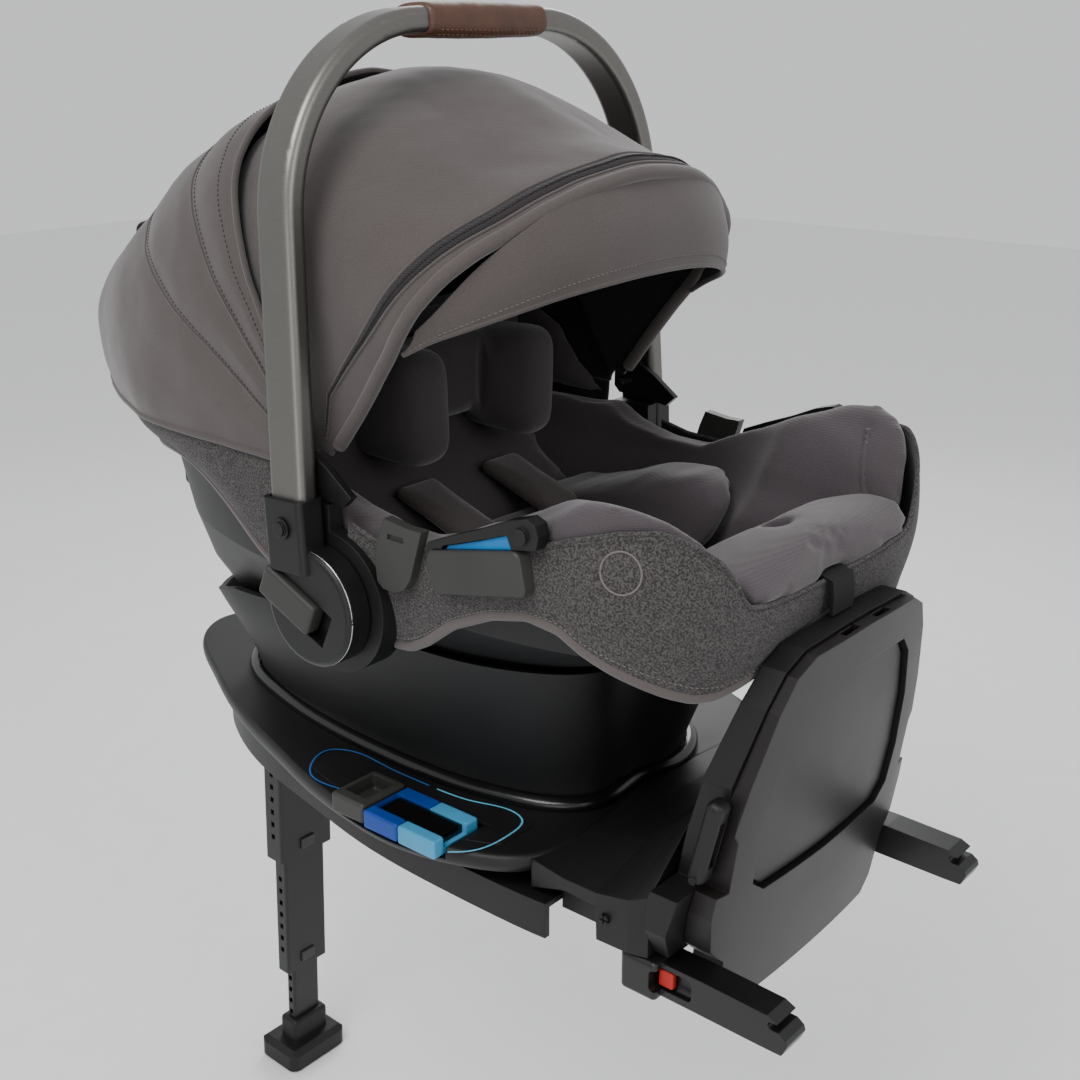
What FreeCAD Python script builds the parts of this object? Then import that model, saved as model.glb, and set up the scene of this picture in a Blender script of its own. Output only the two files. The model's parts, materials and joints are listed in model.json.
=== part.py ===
"""Infant car seat: a rear-facing carrier with canopy, docked on a base with a load leg.

Frame, in millimetres: origin midway between the two lower-anchor jaws, on the anchor bar's axis.
-Y points to the foot end and the vehicle's seat back, +Y to the head end, +Z up.
The seat is symmetric about x = 0. "right" and "left" are the infant's own: right is -X.
"""
import FreeCAD
import Part
import math
import os

V = FreeCAD.Vector
os.makedirs("parts", exist_ok=True)

# ---- driving dimensions, millimetres and degrees ----
ANCHOR_HALF = 140.0        # half the spacing of the lower anchors
JAW_GAP_R = 3.1            # jaw throat radius
ARM_W, ARM_H = 25.0, 27.0  # connector arm section
DECK_Z = 54.0              # top of the base's deck
SKIRT_Z = -6.0             # lower edge of the base's skirt
FLOOR_Z = -45.0            # lower edge of the rebound panel
TUB_TOP = 191.0            # top of the recline tub at its foot end
RECLINE_Y, RECLINE_Z = 672.0, 60.0     # recline hinge line
HUB_Y, HUB_Z = 370.0, 235.0            # handle hinge line
HANDLE_HALF = 220.5        # handle tube's centre from the middle plane, at the foot of its legs
HANDLE_FOOT = 288.0        # lower end of the tube
HANDLE_TAPER = 2.7         # the legs close in towards the top
HANDLE_BEND = 142.0        # corner radius of the arch
HANDLE_T, HANDLE_W = 19.0, 36.0        # tube thickness across and width along
HANDLE_TOP = 652.0         # height of the grip's centre
HANDLE_LEAN = 2.54         # the arch leans towards the head end
CANOPY_Y, CANOPY_Z = 395.0, 330.0      # canopy hinge line
CANOPY_T = 5.0             # canopy fabric with its lining
LEG_Y, LEG_Z = 668.0, -24.0            # load leg's fold hinge
LEG_LEAN = 2.5             # the leg leans away from the base
UPPER_BUTTON_Z, MIDDLE_BUTTON_Z = -176.0, -322.0
SHELL_T = 4.5              # carrier shell wall
GAP = 0.4                  # free space between pieces that don't fit tightly


# ---- helpers ----
def save(name, shape):
    """Write one node and report its volume."""
    solids = shape.Solids
    assert solids and all(s.isValid() for s in solids), name
    shape = solids[0] if len(solids) == 1 else Part.makeCompound(solids)
    shape.exportStep("parts/%s.step" % name)
    box = shape.optimalBoundingBox(False, False)
    print("%-26s %2d solid %9.1f cm3  x %6.0f %6.0f  y %6.0f %6.0f  z %6.0f %6.0f" % (
        name, len(solids), shape.Volume / 1000, box.XMin, box.XMax, box.YMin, box.YMax, box.ZMin, box.ZMax))


def mirrored(shape):
    return shape.mirror(V(0, 0, 0), V(1, 0, 0))


def save_pair(name, shape):
    """The shape is built on the right-hand side, -X."""
    save(name + "_right", shape)
    save(name + "_left", mirrored(shape))


def box(x0, x1, y0, y1, z0, z1):
    return Part.makeBox(x1 - x0, y1 - y0, z1 - z0, V(x0, y0, z0))


def rod(radius, start, end):
    axis = V(*end) - V(*start)
    return Part.makeCylinder(radius, axis.Length, V(*start), axis)


def plan(half, z, inset=0.0):
    """Closed smooth outline at height z. half runs from the foot end's middle to the head end's."""
    middle = 0.5 * (half[0][1] + half[-1][1])
    reach = 0.5 * (half[-1][1] - half[0][1])
    wide = max(x for x, y in half)
    points = [V(x * (1 - inset / wide), middle + (y - middle) * (1 - inset / reach), z) for x, y in half]
    points += [V(-p.x, p.y, z) for p in reversed(points[1:-1])]
    curve = Part.BSplineCurve()
    curve.interpolate(Points=points, PeriodicFlag=True)
    return Part.Wire([curve.toShape()])


def stack(levels, inset=0.0, ruled=False):
    """A solid lofted through (half outline, height) levels, each moved in by inset."""
    return Part.makeLoft([plan(half, z, inset) for half, z in levels], True, ruled)


def side_prism(points, half_width=300.0):
    """A polygon in the YZ plane, extruded both ways along X."""
    corners = [V(-half_width, y, z) for y, z in points]
    face = Part.Face(Part.makePolygon(corners + corners[:1]))
    return face.extrude(V(2 * half_width, 0, 0))


def front_prism(points, y0, y1):
    """A polygon in the XZ plane given by its half with x >= 0, extruded from y0 to y1."""
    full = [V(x, y0, z) for x, z in points] + [V(-x, y0, z) for x, z in reversed(points) if x > 0]
    face = Part.Face(Part.makePolygon(full + full[:1]))
    return face.extrude(V(0, y1 - y0, 0))


def rounded_bar(x0, x1, y0, y1, z0, z1, radius):
    """A box with all twelve edges rounded."""
    block = box(x0, x1, y0, y1, z0, z1)
    return block.makeFillet(radius, block.Edges)


def turned(shape, y, z, degrees):
    """Turn about the line along X through (y, z)."""
    copy = shape.copy()
    copy.rotate(V(0, y, z), V(1, 0, 0), degrees)
    return copy


def rounded_along(shape, direction, radius):
    """Fillet the straight edges that run along a direction."""
    edges = [e for e in shape.Edges if isinstance(e.Curve, Part.Line)
             and abs(e.tangentAt(e.FirstParameter).dot(direction)) > 0.999]
    return shape.makeFillet(radius, edges)


# ---- base: lower shell, deck, ring ----
LOWER = [(0, 118), (100, 119), (148, 126), (162, 160), (168, 240), (167, 310), (160, 400),
         (144, 481), (124, 570), (90, 650), (44, 704), (0, 716)]
DECK = [(0, 200), (110, 200), (160, 212), (188, 256), (202, 325), (198, 371), (187, 428),
        (167, 494), (144, 564), (113, 636), (84, 692), (46, 752), (0, 776)]
RING = [(0, 214), (60, 215), (92, 239), (110, 286), (118, 330), (120, 385), (118, 439),
        (110, 514), (95, 580), (60, 654), (0, 684)]
TUB_FOOT = [(0, 228), (54, 229), (82, 252), (100, 292), (107, 335), (109, 390), (107, 440),
            (99, 512), (84, 574), (50, 640), (0, 664)]
TUB_DECK = [(0, 222), (57, 223), (86, 246), (104, 290), (111, 335), (113, 390), (111, 440),
            (103, 514), (88, 580), (54, 648), (0, 674)]
TUB_MID = [(0, 205), (80, 209), (118, 258), (132, 330), (137, 400), (134, 500), (114, 596),
           (70, 656), (0, 684)]
TUB_RIM = [(0, 188), (98, 192), (146, 258), (158, 340), (161, 410), (156, 520), (128, 632),
           (66, 692), (0, 708)]


def base_lower_shell():
    outer = stack([(LOWER, SKIRT_Z), (LOWER, 24.0)])
    inner = stack([(LOWER, SKIRT_Z - 1), (LOWER, 19.0)], 5.0)
    shell = outer.cut(inner).cut(box(-300, 300, 0, 190.4, -100, 100))
    shell = shell.cut(stack([(RING, 0.0), (RING, 80.0)], 6.0))
    leg_bay = box(-46, 46, LEG_Y - 20, LEG_Y + 70, SKIRT_Z - 5, 16)
    return shell.cut(leg_bay)


def leg_socket():
    """Clevis under the base that the load leg hangs in."""
    block = box(-46, 46, LEG_Y - 19, LEG_Y + 19, LEG_Z - 16, 18.9)
    block = block.cut(box(-36, 36, LEG_Y - 40, LEG_Y + 40, LEG_Z - 20, 2))
    return block.cut(rod(5.05, (-60, LEG_Y, LEG_Z), (60, LEG_Y, LEG_Z)))


def base_deck():
    body = Part.makeLoft([plan(DECK, 24.2, 26.0), plan(DECK, 38.0, 4.0), plan(DECK, 46.0, 0.0),
                          plan(DECK, DECK_Z - 2, 1.0), plan(DECK, DECK_Z, 5.0)], True, False)
    well = stack([(RING, 0.0), (RING, 80.0)], 6.0)
    track = box(-260, -146, 268, 392, 44, 80)
    return body.cut(well).cut(track)


def tub_ring():
    """Glossy lip that the tub rises through."""
    outer = Part.makeLoft([plan(RING, DECK_Z + 0.1, -3.0), plan(RING, DECK_Z + 6, -3.0),
                           plan(RING, DECK_Z + 10, 2.0)], True, False)
    return outer.cut(stack([(RING, 40.0), (RING, 90.0)], 5.0))


SCREW_R = 4.0


def saddle():
    """Bridge between the deck and the rebound panel, waisted across and rising to the panel."""
    sections = []
    for y, half, low, shoulder, top in ((214, 158, 26, 52, 54), (176, 162, 40, 50, 60), (145, 163, 40, 51, 70),
                                        (144, 163, 10, 51, 70), (116, 162, 6, 56, 92), (101, 158, 4, 62, 112)):
        points = [V(0, y, low), V(half, y, low), V(half, y, shoulder), V(half * 0.62, y, top), V(0, y, top + 2)]
        points += [V(-p.x, p.y, p.z) for p in reversed(points[1:-1])]
        sections.append(Part.makePolygon(points + points[:1]))
    body = Part.makeLoft(sections, True, True)
    inner_wall = box(-146, 146, 101, 214, -4, 45)
    well = stack([(RING, -20.0), (RING, 120.0)], -4.0)
    deck = stack([(DECK, 20.0), (DECK, 56.0)], -0.2)
    arm_bays = box(-170, -122, 90, 190, -40, 12)
    body = body.fuse(inner_wall).cut(well).cut(deck).cut(arm_bays).cut(mirrored(arm_bays))
    body = body.cut(box(-300, 300, 190, 230, -60, 25)).removeSplitter()
    for side in (-1, 1):
        body = body.cut(rod(SCREW_R + 0.05, (side * 160, 136, 33), (side * 180, 136, 33)))
    return body


# ---- rebound panel ----
PANEL_LEAN = V(0, -0.13 * 340, 340)


def panel_face_curve(y):
    """The panel's bulged face in plan, from one side to the other, at z = -50."""
    half = [(190, 30), (150, 12), (90, 3), (0, 0)]
    points = [V(-x, y + back, -50) for x, back in half] + [V(x, y + back, -50) for x, back in reversed(half[:-1])]
    curve = Part.BSplineCurve()
    curve.interpolate(Points=points)
    return curve.toShape(), points[0], points[-1]


def panel_slab(front, back):
    """A slab between two bulged faces that lean with the panel; front and back are y at z = -50."""
    near, near_left, near_right = panel_face_curve(front)
    far, far_left, far_right = panel_face_curve(back)
    wire = Part.Wire(Part.sortEdges([near, Part.makeLine(near_right, far_right), far,
                                     Part.makeLine(far_left, near_left)])[0])
    return Part.Face(wire).extrude(PANEL_LEAN)


SEAM_LINE = [(96, FLOOR_Z), (82, 40), (58, 140), (33, 256)]
PANEL_OUTLINE = [(0, FLOOR_Z), (100, FLOOR_Z), (113, -32), (119, 6), (136, 22), (141, 52), (137, 100),
                 (124, 155), (106, 206), (92, 230), (72, 241), (0, 243)]


LEVER_ROOM = box(-180, -127, 49, 160, 70, 152)


def rebound_panel_outer():
    body = panel_slab(63, 160).common(front_prism(PANEL_OUTLINE, -60, 220))
    body = body.common(side_prism([(-60, FLOOR_Z), *SEAM_LINE, (-60, 256)]))
    body = body.cut(LEVER_ROOM).cut(mirrored(LEVER_ROOM))
    recess = front_prism([(0, 52), (84, 54), (100, 66), (104, 100), (98, 150), (84, 192), (68, 208), (0, 210)],
                         -60, 220)
    recess = recess.common(panel_slab(20, 71))
    slots = box(-30, -8, 29, 36, 226, 260).fuse(box(16, 38, 29, 36, 226, 260))
    return body.cut(recess).cut(slots)


def rebound_panel_insert():
    outline = [(0, 55), (82, 57), (97, 68), (101, 100), (95, 149), (81, 189), (66, 205), (0, 207)]
    return front_prism(outline, -60, 220).common(panel_slab(67.5, 70.9))


def rebound_panel_inner():
    outline = [(0, 14), (150, 14), (164, 40), (160, 76), (146, 108), (127, 158), (108, 208), (94, 233),
               (73, 244), (0, 246)]
    back = [(53, 256), (57, 235), (92, 106), (100.6, 60), (100.6, 14)]
    side = [(y + GAP, z) for y, z in SEAM_LINE[1:]]
    side = [(88, 14)] + side + back
    body = panel_slab(58, 200).common(front_prism(outline, -60, 260)).common(side_prism(side))
    return body.cut(LEVER_ROOM).cut(mirrored(LEVER_ROOM))


# ---- belt lock-off levers ----
LOCK_Y, LOCK_Z = 73.0, 82.0


def lock_off():
    """Flat lever with a finger slot, lying along the panel's edge."""
    blade = rounded_bar(-146, -129, 66, 80, 78, 148, 5.5)
    slot = box(-141.5, -133.5, 50, 95, 94, 134)
    pin = rod(3.0, (-147.5, LOCK_Y, LOCK_Z), (-127.4, LOCK_Y, LOCK_Z))
    return turned(blade.cut(slot), LOCK_Y, LOCK_Z, 13.0).fuse(pin)


# ---- recline gauge ----
def gauge_plate(y0, y1):
    """Thin printed plate on the deck beside the recline handle, for one pair of recline positions."""
    strip = box(-230, -124, y0, y1, DECK_Z + 0.05, DECK_Z + 0.8)
    inside = stack([(DECK, 50.0), (DECK, 60.0)], 14.0).cut(stack([(RING, 50.0), (RING, 60.0)], -6.0))
    return strip.common(inside).cut(box(-260, -146, 264, 396, 44, 80))


def recline_handle():
    grip = rounded_bar(-199, -150, 352, 389, 45, 63, 3.0)
    return grip.cut(rounded_bar(-189, -156, 358, 383, 50, 80, 3.0))


def recline_frame(y0, y1):
    """Half of the coloured frame round the dark window."""
    body = rounded_bar(-201, -150, y0, y1, 45, 61, 2.5)
    return body.cut(box(-190, -164, 270, 348, 52, 80))


def recline_window():
    return box(-189.7, -164.3, 276.5, 344, 52.3, 59.0)


# ---- recline tub ----
def tub_levels():
    return [(TUB_FOOT, 8.0), (TUB_DECK, 60.0), (TUB_MID, 125.0), (TUB_RIM, TUB_TOP)]


TUB_CROWN = [(0, -50), (0, TUB_TOP), (470, TUB_TOP), (560, 182), (640, 152), (730, 132), (730, -50)]


def recline_tub():
    body = stack(tub_levels())
    low_side = side_prism([(0, 10), (230, 10), (690, 50), (760, 50), (760, 300), (0, 300)])
    body = body.common(low_side).common(side_prism(TUB_CROWN))
    levels = tub_levels()
    well = stack([levels[1], levels[2], (TUB_RIM, TUB_TOP + 1)], 5.0).common(box(-300, 300, 0, 900, 84, 300))
    under = stack([(TUB_FOOT, 0.0), levels[1], levels[2]], 5.0).common(box(-300, 300, 0, 900, -20, 79))
    return body.cut(well).cut(under)


def dock_bars():
    bars = []
    for y, half in ((262, 68), (520, 78)):
        bars.append(rod(4.0, (-half, y, 89), (half, y, 89)))
        for side in (-1, 1):
            bars[-1] = bars[-1].fuse(box(side * half - 6, side * half + 6, y - 7, y + 7, 84.05, 95))
    return Part.makeCompound(bars)


# ---- carrier shell ----
SHELL_BOTTOM = [(0, 240), (60, 243), (88, 290), (96, 390), (91, 500), (60, 580), (0, 604)]
SHELL_LOW = [(0, 212), (76, 216), (113, 268), (126, 390), (122, 500), (94, 598), (48, 640), (0, 654)]
SHELL_WAIST = [(0, 198), (92, 202), (137, 268), (149, 390), (144, 520), (116, 628), (60, 680), (0, 694)]
SHELL_FLARE = [(0, 74), (70, 77), (128, 96), (168, 160), (184, 260), (188, 350), (182, 450), (160, 560),
               (122, 644), (60, 696), (0, 708)]
SHELL_RIM = [(0, 54), (70, 56), (120, 69), (161, 103), (182, 155), (191, 230), (192, 340), (189, 440),
             (178, 540), (146, 636), (84, 704), (0, 724)]
FABRIC = [(0, 56), (72, 54), (125, 59), (160, 75), (183, 100), (196, 160), (198.5, 230), (199.5, 330), (196, 420),
          (186, 540), (154, 640), (88, 712), (0, 732)]
SHELL_CROWN = [(-50, 60), (-50, 286), (430, 286), (520, 318), (900, 318), (900, 60)]
RIM_LINE = [(-60, 330), (44, 348), (62, 362), (100, 367), (150, 355), (190, 333), (243, 316), (274, 302),
            (286, 295), (324, 297), (371, 311), (392, 324), (760, 324)]
SKIRT_LINE = [(-60, 205), (60, 205), (97, 235), (117, 244), (136, 252), (154, 265), (181, 268), (214, 259),
              (252, 242), (280, 220), (303, 209), (319, 207), (328, 217), (334, 250), (352, 276)]
COVER_TOP = [(-60, 343), (97, 341), (112, 339), (140, 331), (169, 321), (200, 314), (243, 309), (274, 296),
             (286, 289), (324, 291), (346, 297)]
# half outlines across the foot end: the cover's lower edge, its upper edge, and the dip for the legs
FRONT_LOW = [(0, 243), (48, 235), (98, 224), (135, 217), (151, 219), (167, 226), (180, 235), (230, 240)]
FRONT_TOP = [(0, 271), (67, 275), (112, 281), (120, 290), (127, 304), (138, 318), (154, 330), (165, 337), (230, 342)]
DIP = [(94, 262), (112, 284), (119, 297), (126, 318), (137, 334), (154, 350), (174, 361), (190, 368)]


def front_dip(inset, depth):
    """Space between the knee bolsters, open upwards, from the foot end back to the seat's hollow."""
    slope = [(x - inset, z + depth) for x, z in DIP]
    return front_prism([(0, DIP[0][1] + depth), *slope, (slope[-1][0], 460), (0, 460)], -60, 200)


def shell_body(inset, bottom):
    low = stack([(SHELL_BOTTOM, 97.0), (SHELL_LOW, 143.0), (SHELL_WAIST, 192.0)], inset)
    high = stack([(SHELL_WAIST, 192.0), (SHELL_FLARE, 236.0), (SHELL_RIM, 320.0)], inset, True)
    return low.fuse(high).common(box(-300, 300, -50, 900, bottom, 400)).removeSplitter()


def carrier_shell():
    body = shell_body(0.0, 97.0).cut(shell_body(SHELL_T, 97.0 + SHELL_T))
    body = body.common(side_prism(SHELL_CROWN))
    return body.cut(front_dip(-4.0, -8.0))


def shell_latch_hooks():
    hooks = []
    for y in (262, 520):
        for x in (-40, 40):
            hook = box(x - 7, x + 7, y - 10, y + 10, 85, 96.9)
            hook = hook.cut(rod(4.4, (x - 20, y, 89), (x + 20, y, 89)))
            hooks.append(hook.cut(box(x - 20, x + 20, y - 4.4, y + 4.4, 80, 89)))
    return Part.makeCompound(hooks)


def release_handle():
    """Squeeze grip at the head end that unlatches the carrier from the base."""
    grip = rounded_bar(-52, 52, 716, 734, 236, 262, 6.0)
    return grip


def release_housing():
    body = rounded_bar(-66, 66, 690, 738, 222, 276, 8.0)
    body = body.cut(box(-54, 54, 706, 760, 229, 268))
    return body.cut(shell_body(-0.3, 97.0))


# ---- seat fabric ----
def fabric_levels():
    return [(FABRIC, 200.0, 14.0), (FABRIC, 262.0, 2.0), (FABRIC, 305.0, 0.0), (FABRIC, 372.0, 9.0)]


def fabric_body(inset):
    return Part.makeLoft([plan(half, z, own + inset) for half, z, own in fabric_levels()], True, False)


def side_skirt():
    """Outer fabric cover of the foot end and both sides."""
    ring = fabric_body(0.0).cut(fabric_body(5.0))
    ring = ring.common(side_prism(SKIRT_LINE + [(354, 298)] + COVER_TOP[::-1]))
    below = front_prism([(0, 100)] + [(230, 100)] + FRONT_LOW[:0:-1] + FRONT_LOW[:1], -60, 97)
    above = front_prism([FRONT_TOP[0], *FRONT_TOP[1:], (230, 460), (0, 460)], -60, 97)
    return ring.cut(below).cut(above).cut(shell_body(-0.2, 97.0))


def bucket(inset):
    """Free space inside the seat's main pad."""
    low = [(0, 232), (55, 235), (90, 290), (94, 370), (72, 440), (0, 455)]
    mid = [(0, 196), (72, 202), (128, 258), (140, 370), (130, 480), (84, 548), (0, 562)]
    top = [(0, 150), (80, 156), (140, 200), (163, 262), (167, 360), (160, 480), (130, 590), (70, 648), (0, 660)]
    return stack([(low, 186.0), (mid, 246.0), (top, 312.0), (top, 420.0)], inset)


TONGUE_LINE = [(-60, 262), (60, 262), (104, 266), (134, 246), (165, 228), (200, 214), (260, 214), (260, 460),
               (-60, 460)]


def seat_pad():
    lower = shell_body(SHELL_T + 0.6, 97.0 + SHELL_T + 0.6).common(side_prism(SHELL_CROWN))
    lower = lower.common(box(-300, 300, -50, 900, 0, 286))
    upper = fabric_body(5.4).common(side_prism([(-60, 286), *RIM_LINE, (760, 286)]))
    upper = upper.cut(box(-300, 300, 396, 900, 280, 460).cut(shell_body(SHELL_T + 1.0, 97.0)))
    body = lower.fuse(upper).cut(bucket(0.0)).cut(side_prism(TONGUE_LINE, 94.0))
    return body.cut(front_dip(0.0, 0.0)).removeSplitter()


def tongue_pad():
    """Soft centre pad over the foot end, between the two knee bolsters."""
    pad = side_prism([(50, 270), (51, 279), (57, 291), (68, 300), (90, 304), (112, 298), (137, 268), (165, 246),
                      (200, 228), (200, 215), (165, 229), (134, 247.5), (104, 267.5), (60, 264)], 130.0)
    pad = pad.common(front_dip(0.8, 0.8).fuse(box(-93.2, 93.2, -60, 260, 150, 263)))
    lip = [(x, z + 0.6) for x, z in FRONT_TOP]
    pad = pad.cut(front_prism([(0, 100), (230, 100), *lip[::-1]], -60, 65))
    return pad.cut(box(-14, 14, 96, 112, 285, 400)).cut(box(-17, 17, 30, 75, 250, 277.5))


BACK_LINE = [(205, 238), (262, 206), (300, 212), (345, 228), (380, 242), (402, 250)]
BACK_FRONT = [(403, 250.5), (420, 258), (448, 272), (468, 300), (474, 350), (478, 405), (492, 420)]
WALL = [(0, 136), (85, 143), (148, 190), (172, 258), (176.5, 360), (172, 482), (141, 600), (76, 662), (0, 674)]


def infant_insert():
    """Newborn insert: hip bolsters each side of a channel, and the wedge behind the back."""
    top = [(205, 200), (205, 270), (262, 292), (340, 300), (372, 298), (402, 296), (402, 200)]
    body = bucket(1.0).common(side_prism(top))
    trough = side_prism(BACK_LINE + [(403, 460), (150, 460), (150, 280)], 78.0)
    return body.cut(trough)


def back_pad():
    """Padded back rest behind the head insert, with the liner that rises round it under the canopy."""
    profile = BACK_FRONT + [(520, 408), (580, 360), (634, 318), (560, 262), (500, 216), (452, 190), (403, 190)]
    rest = bucket(1.0).common(side_prism(profile, 150.0))
    rise = [(398, 321), (398, 324), (420, 350), (445, 388), (475, 412), (520, 416), (600, 404), (680, 345), (680, 321)]
    wall = stack([(WALL, 280.0), (WALL, 419.0)]).cut(bucket(-0.6)).common(side_prism(rise))
    return Part.makeCompound(rest.Solids + wall.Solids)


def head_insert():
    """Head hugger: two side bolsters joined behind the head."""
    crown = rounded_bar(-60, 60, 440, 480, 318, 402, 10.0)
    wing = rounded_bar(-92, -42, 388, 480, 304, 402, 18.0)
    behind = [(y - 1.0, z) for y, z in BACK_FRONT] + [(600, 421), (600, 200), (402, 200)]
    return crown.fuse(wing).fuse(mirrored(wing)).cut(side_prism(behind))


# ---- harness ----
def shoulder_pad():
    pad = rounded_bar(-77, -29, 352, 438, 0, 11, 4.5)
    pad.translate(V(0, 0, 244))
    return turned(pad, 352, 244, 20.0)


def harness_webbing():
    """Shoulder straps under their pads, the crotch strap, and the adjuster's tail at the foot end."""
    strap = box(-68, -40, 345, 446, 0, 2)
    strap.translate(V(0, 0, 240.5))
    behind = [(y - 1.0, z + 1.0) for y, z in BACK_FRONT] + [(600, 421), (600, 200), (402, 200)]
    strap = turned(strap, 352, 244, 20.0).cut(side_prism(behind))
    crotch = side_prism([(306, 217), (308.5, 217), (316, 235.8), (313.5, 235.8)], 19.0)
    tail = side_prism([(73, 276.5), (60, 276.5), (50, 273), (48.5, 262), (48.5, 247), (51, 247), (51, 262),
                       (52.5, 271.5), (54, 273.2), (73, 273.6)], 15.0)
    return Part.makeCompound([strap, mirrored(strap), crotch, tail])


def buckle_body():
    return rounded_bar(-24, 24, 300, 336, 236, 258, 5.0).cut(box(-11, 11, 306, 322, 247, 262))


def buckle_button():
    return rounded_bar(-10.5, 10.5, 306.5, 321.5, 252.2, 261, 2.0)


# ---- side fittings ----
def side_plate(points, depth):
    """A plate standing off the right-hand side of the cover; points are (y, z)."""
    plate = side_prism(points, 15.0)
    plate.translate(V(depth + 15.0, 0, 0))
    return plate.cut(fabric_body(-0.2)).common(box(-260, -150, 100, 420, 200, 400))


def belt_guide():
    """Bright insert that marks where the vehicle belt runs."""
    return side_plate([(248, 304.2), (246, 307), (216, 317.2), (191, 326.6), (186.6, 317.4)], -204.5)


def guide_frame():
    """Hook over the bright insert that holds the vehicle belt down, with its rivet."""
    frame = side_plate([(266, 300.4), (264, 306), (243, 315), (215, 326), (191, 337), (174, 342), (166, 339), (163, 331),
                        (165, 321.9), (186.2, 317.4), (190.6, 327.2), (216.3, 317.8), (249, 306.8), (251, 303.6)],
                       -206.5)
    return frame.fuse(rod(6.0, (-204, 178, 329), (-209, 178, 329)))


def guide_cover():
    block = rounded_along(box(-209.5, -180, 174, 262, 278, 310), V(1, 0, 0), 6.0)
    block = block.makeChamfer(1.2, [e for e in block.Edges if e.CenterOfMass.x < -209.4])
    return turned(block, 218, 294, -12.0).cut(fabric_body(-0.2))


def adapter_plate():
    plate = side_plate([(306, 315), (284, 312), (269, 312), (274, 296), (281, 274), (288, 264), (298, 260), (309, 260.5),
                        (315, 265), (317, 284), (312, 301)], -208.0)
    return plate.cut(box(-230, -206, 287, 303, 300, 304))


def hub_base():
    """Housing on the shell that carries the handle's hinge."""
    disc = Part.makeCylinder(56.0, 24.0, V(-206.6, HUB_Y - 2, HUB_Z), V(1, 0, 0))
    top = box(-206.6, -184, 366, 406, 256, 312)
    seat = fabric_body(5.0).common(box(-300, 300, 300, 396.5, 285.5, 420))
    body = disc.fuse(top).cut(shell_body(-0.3, 97.0)).cut(side_skirt_clear()).cut(seat)
    return body.cut(rod(8.1, (-230, HUB_Y, HUB_Z), (-150, HUB_Y, HUB_Z)))


def side_skirt_clear():
    ring = fabric_body(-0.3).cut(fabric_body(6.0))
    band = [(y, z) for y, z in SKIRT_LINE] + [(355, 300), (355, 340), (0, 400), (-60, 400)]
    return ring.common(side_prism(band))


def canopy_bracket():
    """Plate on the shell with the stud that the canopy's frame turns on."""
    plate = side_prism([(341, 322), (351, 313), (382, 318), (405, 318), (411, 324), (411, 344), (405, 350), (385, 350),
                        (366, 340)], 3.0)
    plate.translate(V(-203.4, 0, 0))
    return plate.fuse(rod(4.0, (-202, CANOPY_Y, CANOPY_Z), (-186, CANOPY_Y, CANOPY_Z)))


# ---- canopy ----
def fan_section(angle, mid, corner, side, half, inset):
    """Arch of the canopy in the half plane through the hinge line at an angle above +Y."""
    outward = V(0, math.cos(math.radians(angle)), math.sin(math.radians(angle)))
    pivot = V(0, CANOPY_Y, CANOPY_Z)
    base = 14.0 if inset == 0 else 1.0
    shape = [(half, base), (half, side * 0.55), (half - 3, side), (half * 0.79, corner), (half * 0.42, mid - 15),
             (0, mid)]
    right = []
    for x, reach in shape:
        x = x - inset
        reach = reach if reach == base else reach - inset
        right.append(pivot + V(x, 0, 0) + outward * reach)
    points = right + [V(-p.x, p.y, p.z) for p in reversed(right[:-1])]
    curve = Part.BSplineCurve()
    curve.interpolate(Points=points)
    return Part.Wire([curve.toShape(), Part.makeLine(points[-1], points[0])])


# angle, reach at the middle, at the corner, at the side
REAR_FAN = [(1, 414, 306, 208), (9, 430, 320, 226), (17, 404, 322, 232), (27, 364, 302, 230),
            (39, 336, 282, 216), (52, 318, 270, 200), (66, 309, 258, 184)]
FRONT_FAN = [(60, 301, 247, 174), (76, 292, 238, 175), (90, 278, 230, 178), (104, 260, 222, 182),
             (116, 259, 218, 185), (128, 277, 223, 188)]


def canopy_part(fan, half):
    outer = Part.makeLoft([fan_section(a, m, c, s, half, 0.0) for a, m, c, s in fan], True, False)
    first, last = fan[0], fan[-1]
    wider = [(first[0] - 1, *first[1:])] + fan[1:-1] + [(last[0] + 1, *last[1:])]
    inner = Part.makeLoft([fan_section(a, m, c, s, half, CANOPY_T) for a, m, c, s in wider], True, False)
    return outer.cut(inner)


def visor():
    """Sun flap from the canopy's front edge."""
    sections = []
    # x, then y and z of the upper and the lower edge
    for x, upper, lower in ((-176, (300, 442), (311, 428)), (-160, (268, 477), (284, 440)),
                            (-120, (246, 511), (252, 456)), (-60, (232.5, 534), (228, 470)),
                            (0, (230, 541), (220, 474)), (60, (232.5, 534), (228, 470)),
                            (120, (246, 511), (252, 456)), (160, (268, 477), (284, 440)),
                            (176, (300, 442), (311, 428))):
        corners = [V(x, upper[0], upper[1]), V(x, upper[0] + 4, upper[1] - 1),
                   V(x, lower[0] + 4, lower[1] + 1), V(x, lower[0], lower[1])]
        sections.append(Part.makePolygon(corners + corners[:1]))
    return Part.makeLoft(sections, True, True)


# ---- handle ----
def leaned(shape):
    copy = shape.copy()
    copy.rotate(V(0, 0, 0), V(1, 0, 0), -HANDLE_LEAN)
    copy.translate(V(0, 375.1, 0))
    return copy


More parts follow.
